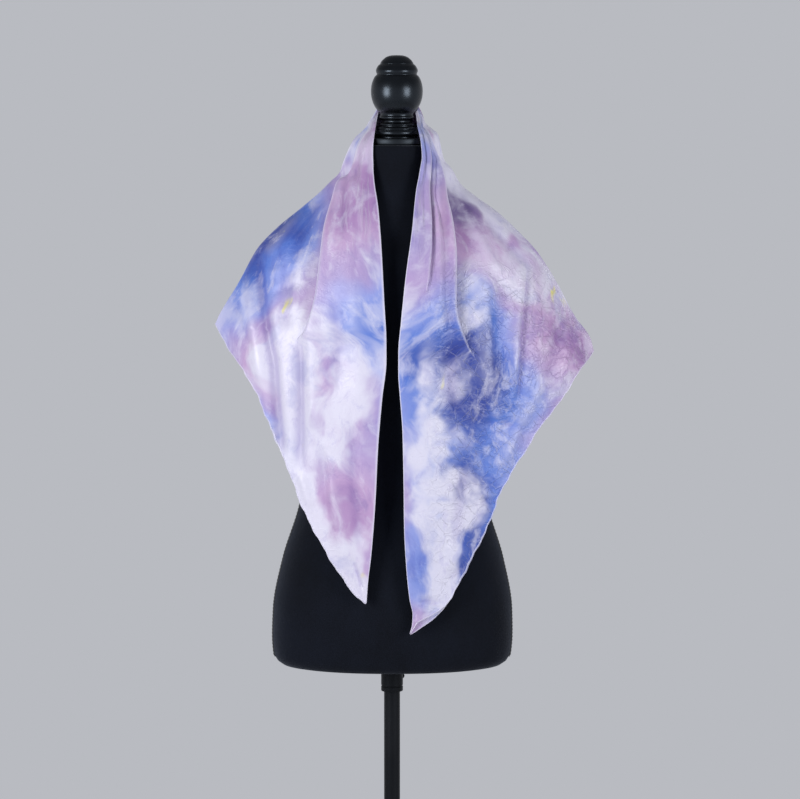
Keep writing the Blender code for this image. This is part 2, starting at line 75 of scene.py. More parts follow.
# ---- Sizes of the stand and the form, as in the CAD
SEAM = 0.0003
FOOT_RADIUS = 0.175
FOOT_HEIGHT = 0.006
FOOT_EDGE = 0.0015
FOOT_EDGE_STEPS = 5
FOOT_TOP_RADII = (0.1050, 0.0148)    # of the rings on its flat top
POLE_RADIUS = 0.0108
POLE_TOP = 1.050
POLE_SPACING = 0.05
COLLAR_PROFILE = metres([            # radius, height above its lower face
    (11.1, 0), (13.8, 0), (14.5, 0.3), (14.8, 1), (14.8, 6), (14.2, 6.6), (14.2, 7.8), (14.8, 8.4),
    (14.8, 37.7), (11.1, 37.7),
])
SCREW_PROFILE = metres([             # reach from the pole's axis, radius, depth of the knurls
    (15.1, 2, 0), (18.3, 2, 0), (18.5, 3.2, 0), (18.8, 3.6, 0.25), (22.2, 3.6, 0.25), (22.5, 3.2, 0),
    (22.8, 2.6, 0),
])
SCREW_HEIGHT = 0.7750
SCREW_TURN = math.radians(50.0)
SCREW_SIDES = 72           # four to a knurl, of which two are cut
BORE_RADIUS = 0.0125
BORE_TOP = 1.265
FINIAL_X = 0.0066
LEAN_PER_METRE = 0.0092
TORSO_SIDES = 144
TURNED_SIDES = 96
STAND_CRISP = 32.0         # edges that turn by more than this many degrees stay crisp
SCREW_CRISP = 30.0
TORSO_CRISP = 50.0
FINIAL_CRISP = 40.0

# ---- The torso's sections: height, half width, depth in front, depth behind, roundness
TORSO_SECTIONS = metres([
    (795.5, 140, 84, 92, 2.2), (797, 148.5, 89, 97, 2.2), (801.5, 155, 93, 101, 2.2),
    (810.5, 159.2, 96, 104, 2.3), (836, 161, 98.5, 107, 2.3), (872, 160, 100, 108.5, 2.3),
    (940, 147.5, 94, 99, 2.2), (1008, 126.5, 83, 80, 2.1), (1043, 119.5, 79, 73, 2.1),
    (1080, 120, 79, 73, 2.1), (1150, 134.5, 85, 81, 2.2), (1223, 149, 88, 93, 2.2),
    (1280, 161.5, 87, 98, 2.2), (1330, 172.5, 80, 93, 2.2), (1348, 176.5, 75.5, 88, 2.1),
    (1362, 175, 71, 83, 2.0), (1374, 166.5, 67, 77.5, 1.9), (1383, 155, 65, 75, 1.8),
    (1393, 138.5, 63.5, 72.5, 1.75), (1404, 115, 61, 69, 1.75), (1414, 92, 58.5, 64, 1.8),
    (1425, 70, 56, 59, 1.9), (1437, 58.5, 53.5, 55, 2.0), (1450, 52, 50.5, 51.5, 2.0),
    (1470, 48.5, 48, 48, 2.0), (1492.5, 46, 46, 46, 2.0), (1495.7, 44.5, 44.5, 44.5, 2.0),
    (1496.5, 41.5, 41.5, 41.5, 2.0),
], plain=1)
TORSO_BOTTOM = TORSO_SECTIONS[0][0]
NECK_TOP = TORSO_SECTIONS[-1][0]
TORSO_ROW = 0.006
BUST_X = 0.080
BUST_HEIGHT = 1.213
BUST_RISE = 0.018
BUST_SPREAD = 0.042
PIPING_TOP = 1.360
PIPING_BOTTOM = 0.8055
PIPING_SIDES = 8
PIPING_PROUD = 0.0002
PIPING_SPACING = 0.0011    # distance between the rings of the piping's tube
PIPING_RADIUS = 0.0011
PIPING_TEETH = 0.0006
PIPING_TWIST = 0.0048
PIPING_TURN = 0.03         # how far in front of the form's side it runs, as a turn in radians

# ---- The finial's turned profile: radius, height above the neck's top
FINIAL_PROFILE = metres([
    (38.2, 0.3), (40.1, 1.3), (40.1, 8.2), (38.7, 9.2), (28.1, 9.6), (28.1, 11.4), (29.7, 12.8),
    (30.7, 15.8), (30, 18.7), (28.7, 20.3), (29.4, 21.8), (27.7, 23.6), (24.3, 24.6), (25.4, 26.4),
    (24.2, 28.3), (20.1, 29.5), (20.1, 32.6), (22.8, 34.6), (23.4, 36.8), (22.3, 38.7), (22.8, 41.7),
    (26.1, 45.6), (29.4, 50.3), (32.1, 56), (34, 63.1), (34.6, 70.5), (34, 77.9), (32.1, 84.9),
    (29.2, 90.4), (26.7, 93), (27.1, 94.6), (27.8, 96.8), (27.8, 99.1), (26.5, 102.2), (24.7, 104.9),
    (22.1, 107.1), (21.9, 108), (20.4, 110.6), (18, 113.1), (13.9, 116.2), (8.4, 118), (4, 118.4),
    (0, 118.5),
])
FINIAL_STEPS = (0.25, 0.50, 0.75, 1.0)    # where the profile is subdivided, from each point to the next
DISC_TOP = (0.0086, 0.0096)    # the lowest disc's upper edge, where its duller polish ends

# ---- The drape's sections: height, y of the shoulder ridge, depth in front, depth behind,
# ---- roundness in front, roundness behind
DRAPE_SECTIONS = metres([
    (1547, 20.5, 0, 40, 1.8, 2.0), (1535, 13, 6, 43, 1.8, 2.0), (1524, 6, 26, 48, 1.8, 2.0),
    (1512, 2, 38, 52.5, 1.8, 2.0), (1496, 0, 46, 57, 1.9, 2.0), (1470, 0, 50, 61, 1.9, 1.9),
    (1445, 0, 55, 66, 1.8, 1.8), (1420, 0, 62, 74, 1.8, 1.8), (1390, 0, 73, 86, 1.8, 1.8),
    (1360, 0, 85, 96, 1.75, 1.8), (1330, 0, 95, 103, 1.7, 1.75), (1290, 0, 105, 108, 1.65, 1.65),
    (1250, 0, 112, 110, 1.65, 1.6), (1200, 0, 115, 110, 1.7, 1.6), (1100, 0, 116, 111, 1.6, 1.6),
    (1000, 0, 116, 114, 1.6, 1.7), (840, 0, 117, 120, 1.6, 1.8),
], plain=2)

# ---- Outlines of the cloth, each as rows of height and distance sideways from the pole
LEFT_RIDGE = metres([
    (1547, 19), (1540.5, 22), (1527.5, 30.5), (1517.5, 36.5), (1507, 48), (1497, 55), (1474, 65),
    (1458.5, 70.5), (1447.5, 82), (1433, 96.5), (1411, 122.5), (1389, 150), (1368, 171.5), (1358, 180),
    (1312, 205.5), (1266, 233), (1256.5, 237),
])
LEFT_HEM = metres([
    (1256.5, 237), (1225.5, 217), (1201.5, 199.5), (1171.5, 180.5), (1140.5, 167.5), (1108.5, 155),
    (1070.5, 137), (1021, 118.5), (957, 83.5), (922, 60), (905, 47), (899, 38.5), (895.5, 35.5),
])
LEFT_FOLD = metres([
    (1541.5, 20), (1519.5, 23.5), (1490.5, 25), (1449.5, 21.5), (1415.5, 17), (1356.5, 12.5), (1288, 9),
    (1245.5, 7), (1218, 7), (1167.5, 12.5), (1103, 18), (1032, 21.5), (961, 27), (923, 31.5),
    (895.5, 33.5),
])
RIGHT_RIDGE = metres([
    (1547, 35.5), (1544, 37.5), (1533.5, 42), (1522, 46), (1518, 53.5), (1510.5, 61.5), (1497, 65),
    (1476, 70), (1464.5, 80), (1444.5, 91.5), (1429, 110), (1408, 139.5), (1379, 171), (1353.5, 194.5),
    (1314, 220), (1267, 245.5), (1237, 266.5), (1220.5, 271),
])
RIGHT_HEM = metres([
    (1220.5, 271), (1200.5, 253.5), (1177.5, 237.5), (1153, 220.5), (1125, 196.5), (1107, 185.5),
    (1067.5, 159.5), (1039, 143.5), (999.5, 128.5), (958, 107.5), (935.5, 96), (910, 82.5), (887, 67.5),
    (875, 56), (866, 42.7), (858.5, 31.5), (855, 26),
])
RIGHT_FOLD = metres([
    (1542.5, 29.5), (1531, 33.5), (1520, 35), (1485, 35.5), (1437, 29.5), (1389, 26), (1323, 17.3),
    (1270, 12), (1227, 8.5), (1199.5, 8.5), (1174, 10.3), (1121.5, 14), (1051, 15.5), (997, 16.2),
    (943.5, 19), (898.5, 23.8), (881, 27.5), (866, 26.6), (855, 23.5),
])
APEX_HEIGHT = 0.832        # of the square's corner behind
APEX_HALF_WIDTH = 0.0030
FRONT_TOP = 1.535          # the fold's edge beside the neck
BACK_TOP = 1.546           # the fold's edge behind the neck
BACK_RISE_END = 1.465      # below this height the rows of the drape are level
TILT_TURN = 1.15           # from this far before the ridge, in radians, the rows above rise to the back

# ---- Pleats: rows of height, distance sideways from the pole, height of the step
LEFT_PLEAT = metres([
    (1536, 26.2, 0), (1510, 40.5, 0), (1477, 59.4, 1.5), (1455, 68.8, 6.5), (1429, 78.6, 9.5),
    (1383, 92.6, 10), (1349, 96.9, 9.5), (1305, 102, 8), (1259, 112.9, 4), (1234, 121.4, 0),
    (957.5, 63.5, 0), (895.5, 34.8, 0),
])
RIGHT_PLEAT = metres([
    (1537, 38.6, 0), (1515, 47.7, 1), (1494, 55.7, 5), (1473, 63.7, 8), (1452.5, 69.7, 10),
    (1426, 75.9, 11), (1366, 82.2, 11), (1278, 88.9, 8), (1235, 101.5, 3), (1213, 111.3, 0),
    (957.5, 71.2, 0), (855, 25.6, 0),
])
RIGHT_ROLL = metres([
    (1538, 34.7, 0), (1516, 41.8, 1), (1505, 44.8, 3), (1468, 45.6, 4.5), (1408, 40.9, 4.8),
    (1361, 39.7, 4.2), (1325, 37, 3), (1296, 34.3, 0), (958, 30.4, 0), (855, 24.3, 0),
])
PLEAT_LENGTH = 0.0160      # sideways room of a pleat's S
PLEAT_SWING = 1.05         # how far the S swings sideways, for each metre of step
ROLL_LENGTH = 0.0080
ROLL_SWING = 1.20
PLEAT_SHARE = 0.30         # most of the cloth's width, from the last pleat out, that an S takes
BAND_SHARE = 0.12          # least that the band inside it takes
PANEL_SHARE = 0.20         # least that the cloth outside it takes
TURN_SHARE = 0.15          # share of a pleat's cloth that each of its two turns takes
TURNS_AT = (0.25, 0.75)    # where along a pleat they lie
SHOWS_FROM = 0.2           # where along a pleat its hidden cloth starts to count, and over how much
SHOWS_OVER = 0.6
LIFT_LEAN = 0.42           # how far a raised pleat leans outward, for each metre of step
PANEL_DIP = 0.40           # how far the cloth beside a pleat dips below its level, for each metre of step
DIP_REACH = 0.016
EDGE_HIGHLIGHT_AT = 0.24          # where along a pleat the painted highlight on its folded edge lies, and how wide it is
EDGE_HIGHLIGHT_WIDTH = 0.060
EDGE_HIGHLIGHT_STEP = 0.006       # a pleat this high gets the full painted highlight on its edge
BAND_CROWN = 0.35          # how far a band bulges between its edges, for each metre of step
TUCK_CLOTH = 7.2           # cloth that a pleat takes in, for each metre of step

# ---- Creases. Each is a soft line on the cloth, seen from the front: x and height where it starts,
# ---- x and height where it ends, sideways bow, rise (a trough if below 0) and half width
LEFT_CREASES = metres([
    (-35, 1518, -42, 1384, 1, 2.2, 3.6), (-43, 1510, -52, 1378, 2, 2, 3.8),
    (-30, 1505, -32, 1365, 0, -1.4, 3.6), (-52, 1490, -64, 1366, 2, -2, 4),
    (-59, 1470, -78, 1347, 3, 2.2, 4.8), (-39, 1476, -48, 1314, -1, -1.6, 3.8),
    (-105, 1288, -98, 1111, 4, 3, 12), (-121, 1262, -124, 1059, -2, -4.2, 8),
    (-180, 1359, -158, 1205, 2, -5.5, 7.5), (-159, 1240, -146, 1078, 2, -5.5, 8),
    (-198, 1340, -170, 1169, 2, 3.8, 9), (-83, 1452, -134, 1339, 4, -3, 9),
    (-109, 1424, -172, 1342, 3, 2.6, 9), (-134, 1354, -141, 1246, 3, -2.6, 8.5),
    (-172, 1325, -124, 1344, 2, 1.2, 4.2), (-164, 1299, -115, 1317, -2, -1.4, 4.4),
    (-151, 1279, -119, 1293, 1, 1, 4), (-204, 1295, -183, 1214, 2, -1.8, 6),
    (-82, 1070, -52, 932, 4, 2.6, 10), (-56, 1153, -42, 947, 2, -2.6, 9),
    (-97, 1111, -85, 998, -2, -2.2, 7), (-122, 1069, -106, 1018, 1, 2, 6),
    (-81, 992, -63, 993, 1, -1.2, 2.8), (-53, 956, -39, 911, 0, -3, 3.8),
    (-45, 1344, -37, 1133, 3, 2.2, 11), (-72, 1313, -73, 1163, -2, -2.6, 10),
])
RIGHT_CREASES = metres([
    (55, 1490, 63, 1353, 1, 2, 3.8), (71, 1460, 73, 1319, 1, -1.6, 4),
    (50, 1447, 57, 1295, -1, -1.6, 3.6), (90, 1447, 109, 1405, 1, -2.6, 4.2),
    (184, 1350, 167, 1150, 1, -4, 3.4), (176, 1345, 160, 1160, 1, 2.8, 5),
    (193, 1225, 229, 1223, 1, -1.6, 3), (193, 1231, 227, 1230, 1, 1, 3),
    (248, 1244, 267, 1223, 1, -1.6, 2.8), (258, 1248, 270, 1228, 1, 1.4, 2.8),
    (236, 1233, 262, 1216, -1, -1.4, 3.2), (166, 1187, 199, 1159, -4, 1.6, 3.2),
    (164, 1175, 186, 1158, -2, -1.4, 3), (111, 1130, 186, 1116, -9, -2.8, 3.6),
    (113, 1140, 182, 1126, -9, 1.8, 4.2), (124, 1161, 144, 1120, -4, 1.4, 3.2),
    (132, 1164, 157, 1123, -4, -1.2, 3.2), (116, 1159, 133, 1122, -4, -1.2, 3),
    (79, 1113, 89, 1091, 1, 1.3, 3), (114, 1035, 144, 1039, -1, 1.6, 3.2),
    (116, 1028, 141, 1031, -1, -1.8, 3.4), (72, 925, 102, 951, 2, -2, 4.6),
    (63, 939, 94, 963, 2, 1.5, 4.8), (51, 1006, 75, 991, -1, 1, 3), (22, 944, 39, 940, 0, -1.2, 3),
    (34, 897, 64, 892, -2, -3.4, 4.2), (36, 883, 57, 883, 0, 2.2, 3.4),
    (83, 1364, 79, 1127, 3, -3.4, 13), (116, 1351, 128, 1162, -3, 3.2, 15),
    (50, 1305, 47, 937, 3, 2.4, 12), (206, 1194, 140, 1059, 3, 2.6, 8),
    (146, 1339, 143, 1181, 3, -3, 11), (222, 1266, 207, 1178, -3, -3, 9),
    (99, 1091, 84, 957, 2, -2.4, 10), (118, 1411, 200, 1323, 4, -2.2, 7),
    (104, 1403, 151, 1320, 3, 1.8, 7),
])
BACK_CREASES = metres([
    (-20, 1500, -80, 1060, 12, 9.6, 10.6), (-36, 1490, -128, 1130, 14, 7.1, 9.7),
    (-50, 1450, -178, 1190, 12, 8.1, 11.4), (-6, 1490, -22, 960, -4, 6.5, 12.3),
    (-66, 1430, -215, 1262, 9, -2.4, 8.8), (24, 1505, 71, 1020, -12, 9, 10.6),
    (44, 1495, 121, 1100, -12, 7.8, 10.6), (58, 1460, 190, 1170, -12, 8.4, 12.3),
    (10, 1480, 28, 1110, 4, -5, 8.8), (80, 1430, 232, 1250, -8, -2.4, 9.7),
    (-100, 1260, -104, 1010, -4, -6.8, 10.6), (135, 1240, 112, 1010, 4, -6.8, 11.4),
    (40, 1080, 36, 900, 2, -5.3, 10.6), (-46, 1100, -34, 890, 3, 4.7, 10.6),
    (150, 1215, 214, 1214, 2, -2.4, 3.6), (-142, 1180, -196, 1196, 3, -2.4, 4),
    (-28, 1300, 36, 1292, -6, -2.4, 4), (-12, 965, 16, 962, -2, -2.4, 3.6),
    (-30, 1512, -52, 1420, 3, -3.5, 4.6), (40, 1515, 62, 1420, -3, -3.5, 4.6),
    (0, 1530, 4, 1410, 1, -3, 5), (-14, 1535, -26, 1400, 1, 3.2, 4.4),
    (20, 1535, 30, 1400, -1, 3.2, 4.4),
])
CREASE_ENDS = 0.22         # share of a crease's length over which each end dies out
RIDGE_FADE = 0.0140        # distance from the shoulder ridge within which creases die out
RIDGE_FADE_TURN = 0.35     # the same behind, as a turn in radians
MIDDLE_TURN = 0.03         # so near to the middle behind, in radians, the outward direction stays the same
SOFT_MIDDLE = 0.08         # rounds the drape's middle, as a share of its reach

# ---- The doubled sheet
LAYER_GAP = 0.0014         # between the outer and the under layer
OUTER_DEPTH = 0.0003       # the outer layer lies this far inside the CAD solid's face
CLOTH_ROW = 0.0048         # height of a row of the sheet's mesh
UNDER_STEP = 2             # the under layer keeps one column in this many
BAND_COLUMNS = 28
PLEAT_COLUMNS = 24
ROLL_COLUMNS = 14
PANEL_COLUMNS = 80
BACK_COLUMNS = 56          # on each half
BACK_HALF = 0.499          # share of the way across that a half takes
TOLERANCE = 1e-9           # for rows at the height of a corner
FOLD_STEPS = 4             # faces round the folded edge
FOLD_EASE = 8              # rows below the neck from which its folded edge is eased
FOLD_ROUNDS = 6
TIP_REACH = 0.045          # the right end's outer layer curls away from the under layer over this length
TIP_CURL = (0.0, -0.0030, 0.0110)
TIP_FOLD = 0.007           # distance from the folded edge over which the curl begins
HEM_RADIUS = 0.00085
HEM_SPACING = 0.0025       # distance between the rings of a rolled hem
HEM_PUCKER = 0.0065        # distance between the slip stitches that pucker the hem
PUCKER_SHARE = 0.16        # how far they change its radius
HEM_SIDES = 8
HEM_WAVE = 0.0007
FRONT_RIPPLE = (0.0062, 0.0027, 0.7)    # lengths of a long and a short wave, and the short one's share
BACK_RIPPLE = (0.0074, 0.0031, 0.8)
BACK_HEM_WAVE = 1.4        # how much stronger the hems behind wave
HEM_STILL = (0.03, 0.04)   # distances from its corner and its tip over which a front hem calms down
BACK_HEM_BOW = 0.0035      # how far the hems behind sag inward
UNDER_HEM_OUT = 0.0011     # how far the under layer's hem shows at most beyond the outer one
UNDER_HEM_MEAN = 0.6       # the mean of that, as a share, as it comes and goes along the hem
UNDER_HEM_WAVE = 0.031
HEM_HIGHLIGHT = 0.6             # how far the hems' silk is mixed toward pale lavender, as a painted highlight on their roll

# ---- Colours, as linear light
ROYAL_BLUE = (0.030, 0.060, 0.340)
BRIGHT_BLUE = (0.090, 0.190, 0.640)
PERIWINKLE = (0.290, 0.350, 0.760)
LAVENDER = (0.420, 0.330, 0.620)
LILAC_PINK = (0.540, 0.370, 0.620)
ORCHID = (0.400, 0.230, 0.490)
VIOLET = (0.200, 0.140, 0.330)
PALE_LAVENDER = (0.740, 0.725, 0.870)
POOL_TONE = (0.72, 0.74, 0.88)           # darkens the print where the wash pooled or dried
DRY_TONE = (0.80, 0.78, 0.90)
TROUGH_SHADE = (0.62, 0.57, 0.76)         # painted shade: darkens the print at the bottom of a trough
LEMON = (0.850, 0.800, 0.160)
VELVET_BLACK = (0.0036, 0.0046, 0.0080)
NAP_TINT = (0.74, 0.82, 1.0, 1.0)
LACQUER_BLACK = (0.0012, 0.0014, 0.0018)
LACQUER_TINT = (0.70, 0.83, 1.0, 1.0)
PAINT_BLACK = (0.0028, 0.0030, 0.0036)
PAINT_TINT = (0.78, 0.86, 1.0, 1.0)
THREAD_BLACK = (0.0200, 0.0210, 0.0240)
FLOOR_PALE = (0.62, 0.62, 0.63)
DISC_ROUGHNESS = 0.46      # of the finial's lowest disc, which is polished less than its turnings

# ---- The print: the clouds' hue at each level of their noise, then the layers over them. A layer has
# ---- its noise's stretch, start, scale, detail and roughness, the levels between which it comes in,
# ---- its strength, its colour and how it mixes
HUES = [
    (0.425, ROYAL_BLUE), (0.458, BRIGHT_BLUE), (0.49, PERIWINKLE), (0.52, LAVENDER),
    (0.56, LILAC_PINK), (0.592, ORCHID), (0.612, VIOLET),
]
HUE_START = (3.1, 0.4, 7.7)
HUE_SCALE = 2.9
FLOW_SCALE = 3.1           # of the noise that makes the wash run, and how far it runs in metres
FLOW_REACH = 0.20
WET_START = (9.2, 5.0, 1.3)
BLOT_START = (1.7, 8.8, 4.1)
FLECK_START = (5.3, 2.2, 6.9)
NO_START = (0.0, 0.0, 0.0)
WASH_LAYERS = {
    "wet": ((1, 1, 0.65), WET_START, 5.2, 5, 0.56, 0.486, 0.566, 0.93, PALE_LAVENDER, "MIX"),
    "bloomed": ((1, 1, 0.8), BLOT_START, 15.0, 5, 0.62, 0.52, 0.66, 0.45, PALE_LAVENDER, "MIX"),
    "pooled": ((1, 1, 0.8), BLOT_START, 15.0, 5, 0.62, 0.49, 0.36, 0.80, POOL_TONE, "MULTIPLY"),
    "brushed": ((48, 48, 12), NO_START, 1.0, 7, 0.66, 0.54, 0.68, 0.42, PALE_LAVENDER, "MIX"),
    "dry": ((95, 95, 40), BLOT_START, 1.0, 6, 0.70, 0.47, 0.36, 0.50, DRY_TONE, "MULTIPLY"),
    "flecks": ((1, 1, 0.5), FLECK_START, 15.0, 3, 0.50, 0.715, 0.765, 0.85, LEMON, "MIX"),
}

# ---- Small relief of the silk
TWILL_DEPTH = 0.00001
UNEVEN_DEPTH = 0.0010
PUFF_DEPTH = 0.0032
GATHER_DEPTH = 0.0006
CRUSH_DEPTH = 0.00056
GATHER_RIDGES = 17.0       # across a stretch of the cloth
GATHER_CHANGES = 9.0       # of each ridge, for a metre of height
GATHER_LEVELS = (0.43, 0.70)    # of a noise, between which its ridges rise
GATHER_PATCHES = (0.38, 0.56)   # of a slower noise, between which the ridges come in
GATHER_FULL = 1.430        # above this height the silk is bunched most
GATHER_END = 1.300
PANEL_BUNCHING = 0.25      # on the outer panels, as a share of that on the bands beside the neck
BACK_BUNCHING = 0.40
GATHER_FADE = 0.2          # share of a stretch over which the ridges die out at its sides
LEFT_CRUMPLE = 0.22        # how crumpled the left front is, as a share of the right front
BACK_CRUMPLE = 0.40
CRUMPLE_X = (0.02, 0.07)   # where the right front's crumples start, and over how much they grow
CRUMPLE_TOP = (1.36, 0.05)
CRUMPLE_Y = (-0.03, 0.06)  # the same from the front to the back
CRUSH_STRETCH = 2.8        # of the straight crease lines, along their direction
CRUSH_LINE = 0.060         # their half width, as a share of the cells that they bound
CRUSH_PATCHES = (0.46, 0.60)    # levels of a noise, between which the lines come in
STRAIGHT_CREASES = [(72.0, 0.70), (96.0, -0.80)]    # scale and turn of each set
CURVED_CREASES = 0.75      # strength of the curved lines beside the straight ones
CURVED_LINE = 0.034        # their half width, as a level of their noise
CREASE_SHADING_RISE = 0.0040  # a crease this high gets the full painted highlight on its crest, and a trough this deep the full painted shade
CREST_HIGHLIGHT_TINT = 0.28          # how far each kind of relief changes the print's colour: painted highlight on crests, folded edges, crush lines and gathers, and painted shade in troughs
TROUGH_SHADE_TINT = 0.65
EDGE_HIGHLIGHT_TINT = 0.80
LINE_HIGHLIGHT_TINT = 0.12
GATHER_HIGHLIGHT_TINT = 0.36


# ---- Small helpers
def bridge(part, start, end, leave, arrive):
    """The cubic from start to end that leaves and arrives with the slopes given."""
    before = (1.0 + 2.0 * part) * (1.0 - part) ** 2 * start + part * (1.0 - part) ** 2 * leave
    return before + part ** 2 * (3.0 - 2.0 * part) * end + part ** 2 * (part - 1.0) * arrive


def smooth_curve(rows, column):
    """A function of height through a table's column that never overshoots its rows."""
    heights, values = np.array([(row[0], row[column]) for row in sorted(rows)]).T
    spans = np.diff(heights)
    steps = np.diff(values) / spans
    slopes = np.concatenate((steps[:1], np.zeros(len(rows) - 2), steps[-1:]))
    for index, (below, above) in enumerate(zip(steps, steps[1:]), start=1):
        if below * above > 0.0:
            slopes[index] = 2.0 * below * above / (below + above)

    def value_at(height):
        height = np.clip(height, heights[0], heights[-1])
        index = np.minimum(np.searchsorted(heights, height, side="right") - 1, len(spans) - 1)
        span = spans[index]
        part = (height - heights[index]) / span
        return bridge(part, values[index], values[index + 1], span * slopes[index], span * slopes[index + 1])

    return value_at


def smooth_step(part):
    part = np.clip(part, 0.0, 1.0)
    return part * part * (3.0 - 2.0 * part)


def lean(height):
    """How far the torso's middle stands to the right of the pole at a height."""
    return LEAN_PER_METRE * (height - TORSO_BOTTOM)


def levels(top, bottom, spacing):
    """Heights from top to bottom, both included, about one spacing apart."""
    count = max(1, round((top - bottom) / spacing))
    return [top + (bottom - top) * index / count for index in range(count + 1)]


def unit(vectors):
    return vectors / np.maximum(np.linalg.norm(vectors, axis=-1, keepdims=True), 1e-12)


def lighter(colour, times):
    return tuple(times * channel for channel in colour)


# ---- Meshes
def add_object(name, data):
    thing = bpy.data.objects.new(name, data)
    bpy.context.scene.collection.objects.link(thing)
    return thing


def make_piece(name, points, faces, material, body, nodes=(), slot=None, sharp_angle=None):
    """A smooth mesh that rides on a body and stands for the CAD nodes named."""
    mesh = bpy.data.meshes.new(name)
    mesh.from_pydata([tuple(map(float, point)) for point in points], [], faces)
    mesh.shade_smooth()
    if sharp_angle is not None:
        mesh.set_sharp_from_angle(angle=math.radians(sharp_angle))
    mesh.materials.append(material)
    piece = add_object(name, mesh)
    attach(piece, body)
    if nodes:
        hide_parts(*nodes)
    return piece


def ring_faces(rings, sides, ring_shaped=False):
    """Faces through rings of equal sides, which run counterclockwise as seen from the last ring."""
    faces = []
    for row in range(rings if ring_shaped else rings - 1):
        below = row * sides
        above = (row + 1) % rings * sides
        for side in range(sides):
            after = (side + 1) % sides
            faces.append((below + side, below + after, above + after, above + side))
    if not ring_shaped:
        top = (rings - 1) * sides
        faces.append(tuple(reversed(range(sides))))
        faces.append(tuple(top + side for side in range(sides)))
    return faces


def make_rings(name, rings, *looks, ring_shaped=False):
    """A piece through rings of points, each with as many points as the others."""
    points = [point for ring in rings for point in ring]
    return make_piece(name, points, ring_faces(len(rings), len(rings[0]), ring_shaped), *looks)


def circle(radius, height, x=0.0, sides=TURNED_SIDES):
    turns = [2.0 * math.pi * side / sides for side in range(sides)]
    return [(x + radius * math.cos(turn), radius * math.sin(turn), height) for turn in turns]


def tube(name, path, radii, sides, *looks):
    """A tube of a radius for each point along a path."""
    path = np.array(path)
    along = unit(np.gradient(path, axis=0))
    helper = np.where(np.abs(along[:, 2:3]) < 0.9, (0.0, 0.0, 1.0), (0.0, 1.0, 0.0))
    across = unit(np.cross(along, helper))
    for index in range(1, len(path)):
        carried = across[index - 1] - along[index] * np.dot(across[index - 1], along[index])
        across[index] = carried / np.linalg.norm(carried)
    up = np.cross(along, across)
    turns = (2.0 * math.pi * np.arange(sides) / sides)[None, :, None]
    outward = np.cos(turns) * across[:, None, :] + np.sin(turns) * up[:, None, :]
    return make_rings(name, path[:, None, :] + radii[:, None, None] * outward, *looks)


def evenly(path, values, spacing):
    """Points one spacing apart along a path, and the values that belong there."""
    lengths = np.concatenate(([0.0], np.cumsum(np.linalg.norm(np.diff(path, axis=0), axis=1))))
    places = np.linspace(0.0, lengths[-1], max(2, int(lengths[-1] / spacing) + 1))
    return [
        np.stack([np.interp(places, lengths, column) for column in table.T], axis=1)
        for table in (path, values)
    ]


def store(piece, name, values):
    """Keeps on each point a number or a vector that its material reads."""
    values = np.asarray(values, dtype=np.float32)
    kind, socket = ("FLOAT_VECTOR", "vector") if values.ndim == 2 else ("FLOAT", "value")
    attribute = piece.data.attributes.new(name, kind, "POINT")
    attribute.data.foreach_set(socket, values.ravel())


